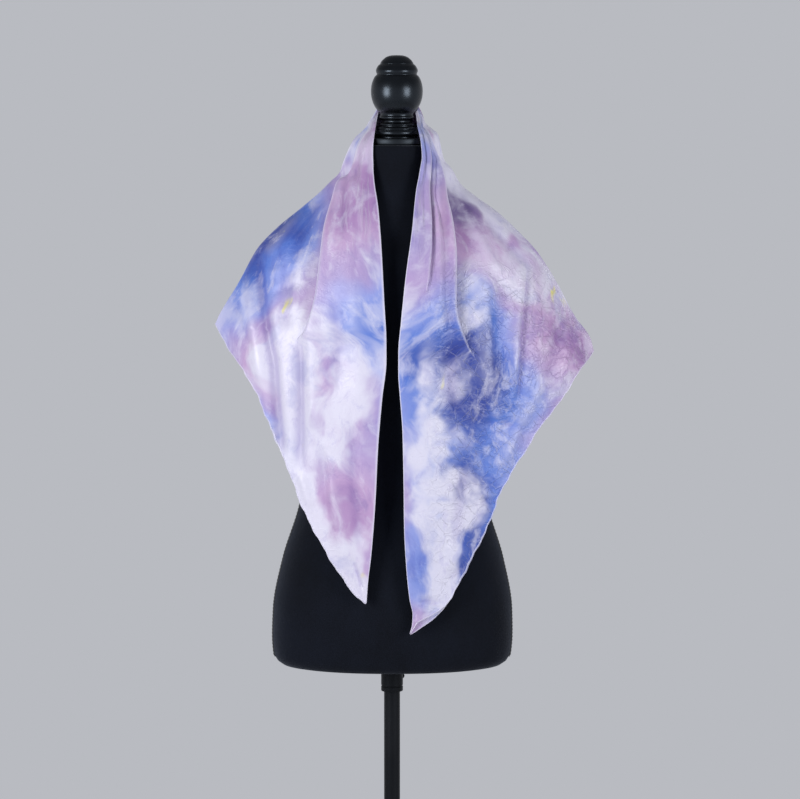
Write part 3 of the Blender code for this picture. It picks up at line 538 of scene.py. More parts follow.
# ---- Materials
class Nodes:
    """The nodes of a material or a world, with short ways to add and join them."""

    def __init__(self, owner):
        owner.use_nodes = True
        self.owner = owner
        self.tree = owner.node_tree

    def fill(self, node, inputs):
        """Sets each input of a node, or joins it where the value is another node's output."""
        for socket, value in inputs.items():
            if isinstance(value, bpy.types.NodeSocket):
                self.tree.links.new(value, node.inputs[socket])
            else:
                node.inputs[socket].default_value = value

    def add(self, kind, inputs, **settings):
        node = self.tree.nodes.new("ShaderNode" + kind)
        for setting, value in settings.items():
            setattr(node, setting, value)
        self.fill(node, inputs)
        return node

    def finish(self, colour, roughness, normal=None, **surface):
        """Gives the material's surface its textures and its plain values, and returns the material."""
        inputs = {socket.replace("_", " "): value for socket, value in surface.items()}
        inputs |= {"Base Color": colour, "Roughness": roughness}
        if normal is not None:
            inputs["Normal"] = normal
        self.fill(self.tree.nodes["Principled BSDF"], inputs)
        return self.owner

    def attribute(self, name, output="Fac"):
        return self.add("Attribute", {}, attribute_name=name).outputs[output]

    def object_place(self):
        return self.add("TexCoord", {}).outputs["Object"]

    def height(self, place):
        return self.add("SeparateXYZ", {0: place}).outputs["Z"]

    def stretched(self, place, scale, offset=NO_START):
        values = {"Vector": place, "Scale": scale, "Location": offset}
        return self.add("Mapping", values).outputs["Vector"]

    def noise(self, place, scale, detail=2.0, roughness=0.5, output=0):
        values = {"Vector": place, "Scale": scale, "Detail": detail, "Roughness": roughness}
        return self.add("TexNoise", values).outputs[output]

    def fraction(self, value, low, high, start=0.0, end=1.0):
        """A value's smooth share of the way from low to high, as start to end."""
        values = {"Value": value, "From Min": low, "From Max": high, "To Min": start, "To Max": end}
        return self.add("MapRange", values, interpolation_type="SMOOTHSTEP").outputs["Result"]

    def math(self, operation, first, second=0.0):
        return self.add("Math", {0: first, 1: second}, operation=operation).outputs[0]

    def times(self, first, second):
        return self.math("MULTIPLY", first, second)

    def shifted(self, place, shift, amount):
        """A place moved by a colour noise, about as far as amount."""
        centred = self.add("VectorMath", {0: shift, 1: (0.5, 0.5, 0.5)}, operation="SUBTRACT").outputs[0]
        scaled = self.add("VectorMath", {0: centred, "Scale": amount}, operation="SCALE").outputs[0]
        return self.add("VectorMath", {0: place, 1: scaled}, operation="ADD").outputs[0]

    def mixed(self, share, first, second, blend="MIX"):
        inputs = [(*value, 1.0) if isinstance(value, tuple) else value for value in (first, second)]
        values = {0: share, 6: inputs[0], 7: inputs[1]}
        return self.add("Mix", values, data_type="RGBA", blend_type=blend).outputs[2]

    def two_toned(self, level, low, high, colour, times):
        """A colour that grows lighter where a noise rises from low to high."""
        return self.mixed(self.fraction(level, low, high), colour, lighter(colour, times))

    def ramp(self, value, stops):
        node = self.add("ValToRGB", {"Fac": value})
        elements = node.color_ramp.elements
        while len(elements) < len(stops):
            elements.new(0.5)
        for element, (position, colour) in zip(elements, stops):
            element.position = position
            element.color = (*colour, 1.0)
        return node.outputs["Color"]

    def bump(self, height, distance, below=None):
        values = {"Height": height, "Distance": distance, "Strength": 1.0}
        if below is not None:
            values["Normal"] = below
        return self.add("Bump", values).outputs["Normal"]


def material_nodes(name):
    return Nodes(bpy.data.materials.new(name))


def watercolour(nodes, place):
    """A generic wash: clouds of blue, lavender and orchid that run into each other, with wet pale patches."""
    flow = nodes.noise(place, FLOW_SCALE, detail=4.0, roughness=0.60, output="Color")
    flowing = nodes.shifted(place, flow, FLOW_REACH)
    clouds = nodes.stretched(flowing, (1.0, 1.0, 0.8), HUE_START)
    colour = nodes.ramp(nodes.noise(clouds, HUE_SCALE, detail=2.0, roughness=0.45), HUES)
    for stretch, start, scale, detail, roughness, low, high, strength, tint, blend in WASH_LAYERS.values():
        level = nodes.noise(nodes.stretched(flowing, stretch, start), scale, detail, roughness)
        colour = nodes.mixed(nodes.fraction(level, low, high, 0.0, strength), colour, tint, blend)
    return colour


def crease_lines(nodes, place, scale, turn):
    """Fine sharp lines, long in one direction, where the silk was once crushed: 1 on a line, 0 off it."""
    bent = nodes.shifted(place, nodes.noise(place, 24.0, output="Color"), 0.010)
    along = {"Vector": bent, "Rotation": (0.0, turn, 0.0), "Scale": (1.0, 1.0, CRUSH_STRETCH)}
    drawn_out = nodes.add("Mapping", along, vector_type="TEXTURE").outputs["Vector"]
    cells = nodes.add("TexVoronoi", {"Vector": drawn_out, "Scale": scale}, feature="DISTANCE_TO_EDGE")
    line = nodes.fraction(cells.outputs["Distance"], CRUSH_LINE, 0.0)
    elsewhere = nodes.stretched(place, (1.0, 1.0, 1.0), (scale, 0.0, 0.0))
    return nodes.times(line, nodes.fraction(nodes.noise(elsewhere, 55.0), *CRUSH_PATCHES))


def curved_creases(nodes, place):
    """Soft curved lines of crumpled silk, where a slow noise crosses its middle."""
    bent = nodes.shifted(place, nodes.noise(place, 30.0, output="Color"), 0.030)
    level = nodes.noise(nodes.stretched(bent, (1.0, 1.0, 1.3)), 34.0, detail=2.5, roughness=0.55)
    from_middle = nodes.math("ABSOLUTE", nodes.math("SUBTRACT", level, 0.5))
    return nodes.times(nodes.fraction(from_middle, CURVED_LINE, 0.0), CURVED_CREASES)


def crushed(nodes, place):
    """The straight crease lines and the curved ones, as strong as the cloth is crumpled there."""
    lines = curved_creases(nodes, place)
    for scale, turn in STRAIGHT_CREASES:
        lines = nodes.math("MAXIMUM", lines, crease_lines(nodes, place, scale, turn))
    return nodes.times(lines, nodes.attribute("crumple"))


def gathers(nodes):
    """The narrow ridges into which the silk bunches near the neck. They fan out with the cloth."""
    parts = nodes.add("SeparateXYZ", {0: nodes.attribute("gather", "Vector")}).outputs
    across = nodes.times(parts["X"], GATHER_RIDGES)
    along = nodes.times(parts["Y"], GATHER_CHANGES)
    place = nodes.add("CombineXYZ", {0: across, 1: along}).outputs[0]
    slowly = nodes.stretched(place, (0.22, 2.6, 1.0))
    wandering = nodes.shifted(place, nodes.noise(slowly, 1.0, output="Color"), 2.2)
    ridges = nodes.fraction(nodes.noise(wandering, 1.0, detail=4.0, roughness=0.62), *GATHER_LEVELS)
    here = nodes.fraction(nodes.noise(slowly, 1.0), *GATHER_PATCHES)
    return nodes.times(nodes.times(ridges, here), parts["Z"])


def silk_normal(nodes, place, lines, ridges):
    """Twill, a faint unevenness, the gathers near the neck and the small creases of crushed cloth."""
    across_twill = {"Vector": nodes.stretched(place, (1.0, 0.2, 1.0)), "Scale": 800.0}
    twill = nodes.add("TexWave", across_twill, wave_type="BANDS", bands_direction="DIAGONAL")
    uneven = nodes.noise(nodes.stretched(place, (30.0, 30.0, 14.0)), 1.0, detail=3.0)
    puffed = nodes.times(nodes.noise(place, 52.0, detail=3.0), nodes.attribute("crumple"))
    normal = nodes.bump(twill.outputs["Fac"], TWILL_DEPTH)
    for height, depth in (
        (uneven, UNEVEN_DEPTH), (puffed, PUFF_DEPTH), (ridges, GATHER_DEPTH), (lines, CRUSH_DEPTH),
    ):
        normal = nodes.bump(height, depth, normal)
    return normal


def make_silk(name, highlight_share=0.0):
    """Printed silk satin, with painted highlights on crests, folded edges, crush lines and gathers, painted
    shade in troughs, and a painted highlight that makes the hems paler where their roll catches the light.
    """
    nodes = material_nodes(name)
    place = nodes.attribute("cloth_place", "Vector")
    lines = crushed(nodes, place)
    ridges = gathers(nodes)
    crease_shading = nodes.attribute("crease_shading")
    colour = watercolour(nodes, place)
    for share, tint, blend in (
        # painted highlight along the crush lines
        (nodes.times(lines, LINE_HIGHLIGHT_TINT), PALE_LAVENDER, "MIX"),
        # painted highlight along the gathers' ridges
        (nodes.times(ridges, GATHER_HIGHLIGHT_TINT), PALE_LAVENDER, "MIX"),
        # painted highlight on the crests of creases, painted shade at the bottom of troughs
        (nodes.fraction(crease_shading, 0.0, 1.0, 0.0, CREST_HIGHLIGHT_TINT), PALE_LAVENDER, "MIX"),
        (nodes.fraction(crease_shading, 0.0, -1.0, 0.0, TROUGH_SHADE_TINT), TROUGH_SHADE, "MULTIPLY"),
        # painted highlight on the folded edges of pleats and of the fold
        (nodes.times(nodes.attribute("edge_highlight"), EDGE_HIGHLIGHT_TINT), PALE_LAVENDER, "MIX"),
        # painted highlight on the hems' roll
        (highlight_share, PALE_LAVENDER, "MIX"),
    ):
        colour = nodes.mixed(share, colour, tint, blend)
    roughness = nodes.fraction(nodes.noise(place, 26.0), 0.3, 0.7, 0.36, 0.46)
    normal = silk_normal(nodes, place, lines, ridges)
    return nodes.finish(
        colour, roughness, normal, Sheen_Weight=0.05, Sheen_Roughness=0.30, Specular_IOR_Level=0.60)


def make_velvet():
    """Black velour with a short nap that is brushed unevenly."""
    nodes = material_nodes("velvet")
    place = nodes.object_place()
    brushed = nodes.noise(nodes.stretched(place, (9.0, 9.0, 5.0)), 1.0, detail=4.0, roughness=0.6)
    nap = nodes.noise(place, 900.0, roughness=0.6)
    level = nodes.math("ADD", nodes.times(brushed, 0.6), nodes.times(nap, 0.4))
    colour = nodes.two_toned(level, 0.35, 0.65, VELVET_BLACK, 2.2)
    return nodes.finish(
        colour, nodes.fraction(brushed, 0.3, 0.7, 0.86, 0.98), nodes.bump(nap, 0.0004),
        Sheen_Weight=0.12, Sheen_Roughness=0.40, Specular_IOR_Level=0.10, Sheen_Tint=NAP_TINT)


def make_lacquer():
    """Black lacquer over turned wood, with a faint ripple of the grain and dust-fine wear."""
    nodes = material_nodes("lacquer")
    place = nodes.object_place()
    grain = nodes.noise(nodes.stretched(place, (60.0, 60.0, 9.0)), 1.0, detail=4.0, roughness=0.55)
    polish = nodes.fraction(nodes.noise(place, 420.0, detail=3.0, roughness=0.6), 0.35, 0.7, 0.26, 0.30)
    above_disc = nodes.fraction(nodes.height(place), *[NECK_TOP + height for height in DISC_TOP])
    values = {0: above_disc, 2: DISC_ROUGHNESS, 3: polish}
    roughness = nodes.add("Mix", values, data_type="FLOAT").outputs[0]
    return nodes.finish(
        nodes.two_toned(grain, 0.4, 0.6, LACQUER_BLACK, 2.0), roughness, nodes.bump(grain, 0.00004),
        Specular_IOR_Level=0.50, Specular_Tint=LACQUER_TINT)


def make_paint():
    """Black powder paint on steel, with a fine orange peel."""
    nodes = material_nodes("stand_paint")
    place = nodes.object_place()
    peel = nodes.noise(place, 650.0, detail=3.0, roughness=0.55)
    wear = nodes.noise(nodes.stretched(place, (14.0, 14.0, 5.0)), 1.0, detail=5.0, roughness=0.6)
    return nodes.finish(
        nodes.two_toned(wear, 0.45, 0.7, PAINT_BLACK, 2.2), nodes.fraction(wear, 0.3, 0.7, 0.38, 0.50),
        nodes.bump(peel, 0.00008), Specular_IOR_Level=0.22, Specular_Tint=PAINT_TINT)


def make_thread():
    """The black thread of the form's seams."""
    nodes = material_nodes("seam_thread")
    twist = nodes.noise(nodes.object_place(), 1400.0, roughness=0.6)
    return nodes.finish(
        nodes.two_toned(twist, 0.35, 0.65, THREAD_BLACK, 2.0), nodes.fraction(twist, 0.3, 0.7, 0.55, 0.75),
        nodes.bump(twist, 0.0002), Sheen_Weight=0.3, Sheen_Roughness=0.4)


def make_floor_finish():
    nodes = material_nodes("floor_finish")
    cloud = nodes.noise(nodes.object_place(), 2.5, detail=4.0, roughness=0.55)
    colour = nodes.mixed(cloud, lighter(FLOOR_PALE, 0.93), FLOOR_PALE)
    return nodes.finish(colour, nodes.fraction(cloud, 0.3, 0.7, 0.6, 0.7))


# ---- The stand
def build_foot(material):
    profile = [(FOOT_RADIUS, 0.0), (FOOT_RADIUS, FOOT_HEIGHT - FOOT_EDGE)]
    for step in range(1, FOOT_EDGE_STEPS + 1):
        turn = 0.5 * math.pi * step / FOOT_EDGE_STEPS
        radius = FOOT_RADIUS - FOOT_EDGE + FOOT_EDGE * math.cos(turn)
        profile.append((radius, FOOT_HEIGHT - FOOT_EDGE + FOOT_EDGE * math.sin(turn)))
    profile += [(radius, FOOT_HEIGHT) for radius in FOOT_TOP_RADII]
    rings = [circle(*place) for place in profile]
    make_rings("foot_plate", rings, material, "stand", ["base_plate"], "stand_paint", STAND_CRISP)


def build_pole(material):
    heights = levels(POLE_TOP, FOOT_HEIGHT + SEAM, POLE_SPACING)[::-1]
    rings = [circle(POLE_RADIUS, height) for height in heights]
    make_rings("upright", rings, material, "stand", ["pole"], "stand_paint", STAND_CRISP)


def build_collar(material):
    """The sleeve that clamps on the pole, with bevelled lower edge and a turned groove."""
    bottom = TORSO_BOTTOM - SEAM - COLLAR_PROFILE[-1][1]
    rings = [circle(radius, bottom + height) for radius, height in COLLAR_PROFILE]
    make_rings(
        "clamp_collar", rings, material, "carrier", ["height_collar"], "stand_paint", STAND_CRISP,
        ring_shaped=True,
    )


def build_screw(material):
    """The clamping screw, with a knurled head."""
    along = np.array((math.cos(SCREW_TURN), math.sin(SCREW_TURN), 0.0))
    aside = np.array((-math.sin(SCREW_TURN), math.cos(SCREW_TURN), 0.0))
    up = np.array((0.0, 0.0, 1.0))
    sides = np.arange(SCREW_SIDES)
    turns = (2.0 * math.pi * sides / SCREW_SIDES)[:, None]
    outward = np.cos(turns) * aside + np.sin(turns) * up
    cut = sides[:, None] % 4 >= 2
    rings = [
        reach * along + (radius - depth * cut) * outward + SCREW_HEIGHT * up
        for reach, radius, depth in SCREW_PROFILE
    ]
    make_rings("clamp_knob", rings, material, "clamp_screw", ["thumb_screw"], "stand_paint", SCREW_CRISP)


# ---- The dress form
TORSO_CURVES = [smooth_curve(TORSO_SECTIONS, column) for column in range(1, 5)]


def torso_point(height, turn, proud=0.0):
    """A point of the torso's surface. turn is from +X toward the back; proud is how far outside it lies."""
    half_width, front, back, roundness = [curve(height) for curve in TORSO_CURVES]
    power = 2.0 / roundness
    across = np.cos(turn)
    along = np.sin(turn)
    x = (half_width + proud) * np.sign(across) * np.abs(across) ** power
    depth = np.where(along > 0.0, back, front) + proud
    y = depth * np.sign(along) * np.abs(along) ** power
    reach = ((np.abs(x) - BUST_X) ** 2 + (height - BUST_HEIGHT) ** 2) / (2.0 * BUST_SPREAD ** 2)
    y = y - np.where(along < 0.0, BUST_RISE * np.abs(along) * np.exp(-reach), 0.0)
    return np.stack(np.broadcast_arrays(x + lean(height), y, height), axis=-1)


def build_torso(material):
    heights = [row[0] for row in TORSO_SECTIONS]
    for low, high in zip(heights[:-1], heights[1:]):
        heights += levels(high, low, TORSO_ROW)[1:-1]
    turns = 2.0 * math.pi * np.arange(TORSO_SIDES) / TORSO_SIDES
    rings = [circle(BORE_RADIUS, height, sides=TORSO_SIDES) for height in (BORE_TOP, TORSO_BOTTOM)]
    rings += [torso_point(height, turns) for height in sorted(heights)]
    make_rings("velvet_torso", rings, material, "form", ["torso_form"], "jersey", TORSO_CRISP)


def build_torso_seams(material):
    """The side seams' corded piping, whose twist shows as small teeth along the outline."""
    heights = np.array(levels(PIPING_TOP, PIPING_BOTTOM, PIPING_SPACING))
    radii = PIPING_RADIUS + PIPING_TEETH * np.abs(np.sin(math.pi * heights / PIPING_TWIST))
    for name, turn in (("piping_right", -PIPING_TURN), ("piping_left", math.pi + PIPING_TURN)):
        path = torso_point(heights, turn + 0.0 * heights, PIPING_PROUD)
        tube(name, path, radii, PIPING_SIDES, material, "form", (), "jersey")


def build_finial(material):
    """The turned neck cap, with its profile's round stretches subdivided."""
    profile = np.array(FINIAL_PROFILE)
    padded = np.vstack((profile[:1], profile, profile[-1:]))
    fine = [profile[0]]
    for before, start, end, after in zip(padded, padded[1:], padded[2:], padded[3:]):
        span = np.linalg.norm(end - start)
        leave = (end - before) / max(np.linalg.norm(end - before), 1e-9) * span
        arrive = (after - start) / max(np.linalg.norm(after - start), 1e-9) * span
        fine += [bridge(part, start, end, leave, arrive) for part in FINIAL_STEPS]
    rings = [circle(max(radius, 0.0), NECK_TOP + height, x=FINIAL_X) for radius, height in fine]
    make_rings("turned_finial", rings, material, "form", ["neck_finial"], "lacquer", FINIAL_CRISP)


# ---- The drape: places on the scarf
class Pleat:
    """A pleat of the doubled cloth: an S whose height fades out toward its ends.

    The cloth that it takes in grows from its lower end and stays the same from its highest place up.
    """

    def __init__(self, rows, length, swing, columns):
        upward = sorted(rows)
        most_below = np.maximum.accumulate([row[2] for row in upward])
        self.edge = smooth_curve(rows, 1)
        self.step = smooth_curve(rows, 2)
        self.taken = smooth_curve([(row[0], TUCK_CLOTH * most) for row, most in zip(upward, most_below)], 1)
        self.length = length
        self.swing = swing
        self.columns = columns


class Side:
    """One side of the drape. sign is -1 on the left and 1 on the right."""

    def __init__(self, sign, ridge, hem, fold, pleats, creases):
        self.sign = sign
        self.ridge, self.hem, self.fold = [smooth_curve(rows, 1) for rows in (ridge, hem, fold)]
        self.corner_height, self.corner_reach = hem[0]
        self.tip_height = hem[-1][0]
        self.pleats = pleats
        self.creases = creases

    def hangs_behind(self, height):
        """Whether the back stretch hangs free of this side's front at a height."""
        return height < self.corner_height - TOLERANCE

    def ripple(self, height, long, short, share):
        """How far a hem waves sideways between its slip stitches."""
        return HEM_WAVE * (math.sin(height / long + self.sign) + share * math.sin(height / short))

    def front_hem(self, height):
        """Distance sideways of the hem in front, from the side's corner to its tip."""
        from_corner = smooth_step((self.corner_height - height) / HEM_STILL[0])
        from_tip = smooth_step((height - self.tip_height) / HEM_STILL[1])
        return self.hem(height) + self.ripple(height, *FRONT_RIPPLE) * from_corner * from_tip

    def back_hem(self, height):
        """Distance sideways of the hem behind, from the side's corner to the square's corner."""
        part = (height - APEX_HEIGHT) / (self.corner_height - APEX_HEIGHT)
        free = max(0.0, math.sin(math.pi * part)) ** 0.5
        straight = APEX_HALF_WIDTH + (self.corner_reach - APEX_HALF_WIDTH) * part
        return straight + free * (BACK_HEM_WAVE * self.ripple(height, *BACK_RIPPLE) - BACK_HEM_BOW)


LEFT = Side(
    -1.0, LEFT_RIDGE, LEFT_HEM, LEFT_FOLD,
    [Pleat(LEFT_PLEAT, PLEAT_LENGTH, PLEAT_SWING, PLEAT_COLUMNS)], LEFT_CREASES,
)
RIGHT = Side(
    1.0, RIGHT_RIDGE, RIGHT_HEM, RIGHT_FOLD,
    [Pleat(RIGHT_ROLL, ROLL_LENGTH, ROLL_SWING, ROLL_COLUMNS),
     Pleat(RIGHT_PLEAT, PLEAT_LENGTH, PLEAT_SWING, PLEAT_COLUMNS)], RIGHT_CREASES,
)
RIDGE_Y, FRONT_DEPTH, BACK_DEPTH, FRONT_ROUNDNESS, BACK_ROUNDNESS = [
    smooth_curve(DRAPE_SECTIONS, column) for column in range(1, 6)]


def drape_point(side, height, turn):
    """Points of the plain drape. turn is 0 on the shoulder ridge, -90 degrees mid front, 90 mid back."""
    middle = lean(height)
    ridge_y = RIDGE_Y(height)
    in_front = turn < 0.0
    span = np.where(in_front, -(FRONT_DEPTH(height) + ridge_y), BACK_DEPTH(height) - ridge_y)
    roundness = np.where(in_front, FRONT_ROUNDNESS(height), BACK_ROUNDNESS(height))
    reach = side.ridge(height) - side.sign * middle
    across = np.maximum(np.cos(turn), 0.0) ** (2.0 / roundness)
    softened = np.sqrt(across ** 2 + SOFT_MIDDLE ** 2 * (1.0 - across ** 2))
    along = np.maximum(1.0 - softened ** roundness, 0.0) ** (1.0 / roundness)
    x = middle + side.sign * reach * across
    return np.stack(np.broadcast_arrays(x, ridge_y + span * along, height), axis=-1)


def drape_turn(side, height, distance, behind=False):
    """The turn at which the drape is a distance sideways from the pole."""
    middle = lean(height)
    reach = side.ridge(height) - side.sign * middle
    roundness = BACK_ROUNDNESS(height) if behind else FRONT_ROUNDNESS(height)
    share = np.clip((distance - side.sign * middle) / reach, 0.0, 1.0)
    turn = np.arccos(share ** (roundness / 2.0))
    return turn if behind else -turn


def drape_normal(side, height, turn):
    """The drape's outward direction."""
    turn_step = 0.02
    height_step = 0.004
    along = drape_point(side, height, turn + turn_step) - drape_point(side, height, turn - turn_step)
    up = drape_point(side, height + height_step, turn) - drape_point(side, height - height_step, turn)
    return unit(np.cross(along, up) * side.sign)


def crease_rise(creases, x, height):
    """How far the creases lift the cloth at places seen from the front. Each dies out toward its ends."""
    rise = np.zeros(np.broadcast(x, height).shape)
    for start_x, start_z, end_x, end_z, bow, crest, width in creases:
        run_x = end_x - start_x
        run_z = end_z - start_z
        length = math.hypot(run_x, run_z)
        along = ((x - start_x) * run_x + (height - start_z) * run_z) / length ** 2
        across = ((height - start_z) * run_x - (x - start_x) * run_z) / length
        across = across + 4.0 * bow * along * (1.0 - along)
        ends = smooth_step(along / CREASE_ENDS) * smooth_step((1.0 - along) / CREASE_ENDS)
        rise += crest * ends * np.exp(-(across / width) ** 2)
    return rise


def pleat_section(pleat, step, length):
    """A pleat's section: place sideways from its middle, lift, share of cloth still hidden, and swing."""
    share = np.linspace(0.0, 1.0, pleat.columns + 1)
    swing = pleat.swing * step * length / pleat.length
    place = length * (share - 0.5) + swing * np.sin(2.0 * math.pi * share)
    first, second = [smooth_step((share - turn) / TURN_SHARE + 0.5) for turn in TURNS_AT]
    lift = step * (1.0 - 0.5 * first - (0.5 + PANEL_DIP) * second)
    still_hidden = 1.0 - smooth_step((share - SHOWS_FROM) / SHOWS_OVER)
    return place, lift, still_hidden, swing


def front_row(side, height, outer):
    """A front row's columns, from its folded edge out: the turn, the lift and what looks need, by name."""
    start = float(side.fold(height)) + 0.5 * LAYER_GAP
    parts = []

    def add(turn, lift, hidden, share, edge_highlight=0.0, bunching=1.0):
        parts.append(np.array(np.broadcast_arrays(turn, lift, hidden, share, edge_highlight, bunching)))

    # the folded edge gets the full painted highlight
    add(drape_turn(side, height, np.array([start])), 0.0, 0.0, 0.0, edge_highlight=1.0)
    dip = 0.0
    for pleat in side.pleats:
        room = outer - start
        length = min(pleat.length, PLEAT_SHARE * room)
        step = float(pleat.step(height))
        taken = float(pleat.taken(height))
        place, lift, still_hidden, swing = pleat_section(pleat, step, length)
        wanted = float(pleat.edge(height)) - swing + (0.5 - TURNS_AT[0]) * length - LIFT_LEAN * step
        low = start + BAND_SHARE * room + 0.5 * length
        high = outer - PANEL_SHARE * room - 0.5 * length
        middle = min(max(wanted, low), max(high, low))
        for part in parts:
            part[1] += step
            part[2] += taken
        band = np.linspace(start, middle - 0.5 * length, BAND_COLUMNS + 1)[1:-1]
        share = np.linspace(0.0, 1.0, len(band))
        crown = BAND_CROWN * step * np.sin(math.pi * share)
        sunk = dip * np.exp(-((band - start) / DIP_REACH) ** 2)
        add(drape_turn(side, height, band), step + crown - sunk, taken, share)
        # painted highlight along the pleat's folded edge
        from_edge = (np.linspace(0.0, 1.0, len(place)) - EDGE_HIGHLIGHT_AT) / EDGE_HIGHLIGHT_WIDTH
        edge_highlight = np.exp(-from_edge ** 2) * min(1.0, step / EDGE_HIGHLIGHT_STEP)
        add(drape_turn(side, height, middle + place), lift, taken * still_hidden, 1.0, edge_highlight)
        dip = PANEL_DIP * step
        start = middle + 0.5 * length
    ends = drape_turn(side, height, start), drape_turn(side, height, outer)
    from_pleat = np.linspace(0.0, outer - start, PANEL_COLUMNS + 1)[1:]
    add(
        np.linspace(*ends, PANEL_COLUMNS + 1)[1:], -dip * np.exp(-(from_pleat / DIP_REACH) ** 2), 0.0,
        np.linspace(0.0, 1.0, PANEL_COLUMNS), bunching=PANEL_BUNCHING)
    names = ("turn", "lift", "hidden", "share", "edge_highlight", "bunching")
    return dict(zip(names, np.concatenate(parts, axis=1)))


def tilted(height, turn):
    """The height of a row's points: near the neck the rows rise from the front to the back."""
    share = smooth_step((height - BACK_RISE_END) / (FRONT_TOP - BACK_RISE_END))
    return height + (BACK_TOP - FRONT_TOP) * share * smooth_step(turn / TILT_TURN + 1.0)


def crumple_strength(points):
    """Where the silk kept small crumples: most on the right front panel, less elsewhere."""
    x, y, height = points.T
    rightward = smooth_step((x - CRUMPLE_X[0]) / CRUMPLE_X[1])
    downward = smooth_step((CRUMPLE_TOP[0] - height) / CRUMPLE_TOP[1])
    backward = smooth_step((y - CRUMPLE_Y[0]) / CRUMPLE_Y[1])
    in_front = LEFT_CRUMPLE + (1.0 - LEFT_CRUMPLE) * rightward * downward
    return in_front + (BACK_CRUMPLE - in_front) * backward


def gather_places(share, height, most):
    """For each point its share of the way across its stretch, its height, and how bunched it is.

    The silk bunches into narrow ridges near the neck, at most as strongly as most says.
    """
    strength = most * smooth_step((height - GATHER_END) / (GATHER_FULL - GATHER_END))
    strength = strength * smooth_step(share / GATHER_FADE) * smooth_step((1.0 - share) / GATHER_FADE)
    return np.stack(np.broadcast_arrays(share, height, strength), axis=-1)


# ---- The doubled sheet
class Cloth:
    """The points of the doubled sheet's middle, and the values that its material reads at each.

    cloth_place is its place for the print, gather its share of the way across its stretch, its height
    and how bunched it is, crumple how crushed it is, then a painted highlight that is 1 on a folded edge,
    and the creases' painted light and shade: 1 on the crest of a crease and -1 at the bottom of a trough.
    """

    def __init__(self):
        self.points = []
        self.values = {"cloth_place": [], "gather": [], "crumple": [], "edge_highlight": [], "crease_shading": []}
        self.quads = []
        self.under_faces = []

    def add(self, points, values):
        start = len(self.points)
        self.points += list(points)
        for name, kept in self.values.items():
            kept += list(values[name])
        return list(range(start, len(self.points)))

    def join(self, rows, backward=False):
        """Faces between rows: the outer layer's on every column, the under layer's on every second one."""
        if backward:
            rows = [row[::-1] for row in rows]
        last = len(rows[0]) - 1
        coarse = list(range(0, last, UNDER_STEP)) + [last]
        for upper, lower in zip(rows, rows[1:]):
            for column in range(last):
                self.quads.append((upper[column], upper[column + 1], lower[column + 1], lower[column]))
            for start, end in zip(coarse, coarse[1:]):
                top = upper[start:end + 1] if upper is rows[0] else [upper[start], upper[end]]
                self.under_faces.append(top + [lower[end], lower[start]])


def shared_heights(bottom):
    """Row heights that the stretches share where they meet, from the fronts' top to a side's corner."""
    heights = levels(FRONT_TOP, LEFT.corner_height, CLOTH_ROW)
    heights += levels(LEFT.corner_height, RIGHT.corner_height, CLOTH_ROW)[1:]
    return [height for height in heights if height > bottom - 0.5 * SEAM]


def draped(base, normal, lift, creased, gather, edge_highlight, print_place):
    """A row's points in the sheet's middle, lifted off the plain drape, and their values by name."""
    rise = lift + creased - OUTER_DEPTH - 0.5 * LAYER_GAP
    return base + normal * rise[:, None], {
        "cloth_place": print_place, "gather": gather, "crumple": crumple_strength(base),
        # the painted highlight on folded edges, and the painted highlight and shade of the creases
        "edge_highlight": edge_highlight, "crease_shading": np.clip(creased / CREASE_SHADING_RISE, -1.0, 1.0),
    }


def build_front(cloth, side):
    heights = shared_heights(side.corner_height)
    heights += levels(side.corner_height, side.tip_height, CLOTH_ROW)[1:]
    rows = []
    for height in heights:
        above_corner = height > side.corner_height - TOLERANCE
        outer = float(side.ridge(height) if above_corner else side.front_hem(height))
        row = front_row(side, height, outer)
        raised = tilted(height, row["turn"])
        base = drape_point(side, raised, row["turn"])
        normal = drape_normal(side, raised, row["turn"])
        fade = smooth_step((outer - side.sign * base[:, 0]) / RIDGE_FADE) if above_corner else 1.0
        creased = crease_rise(side.creases, base[:, 0], raised) * fade
        gather = gather_places(row["share"], raised, row["bunching"])
        print_place = base.copy()
        print_place[:, 0] -= side.sign * row["hidden"]
        rows.append(cloth.add(*draped(
            base, normal, row["lift"] * fade, creased, gather, row["edge_highlight"], print_place)))
    return rows


def back_half(side, height):
    """The points and values of a half back row, from the side's outer edge to the middle."""
    hanging = side.hangs_behind(height)
    start = drape_turn(side, height, side.back_hem(height), behind=True) if hanging else 0.0
    turns = np.linspace(float(start), 0.5 * math.pi, BACK_COLUMNS + 1)
    raised = tilted(height, turns)
    base = drape_point(side, raised, turns)
    normal = drape_normal(side, raised, np.minimum(turns, 0.5 * math.pi - MIDDLE_TURN))
    fade = 1.0
    if not hanging:
        from_ridge = float(side.ridge(height)) - side.sign * base[:, 0]
        fade = smooth_step(from_ridge / RIDGE_FADE + turns) * smooth_step(turns / RIDGE_FADE_TURN)
    creased = crease_rise(BACK_CREASES, base[:, 0], raised) * fade
    across = np.linspace(0.0, BACK_HALF, BACK_COLUMNS + 1)
    gather = gather_places(across if side is LEFT else 1.0 - across, raised, BACK_BUNCHING)
    return draped(base, normal, 0.0, creased, gather, np.zeros(len(turns)), base)


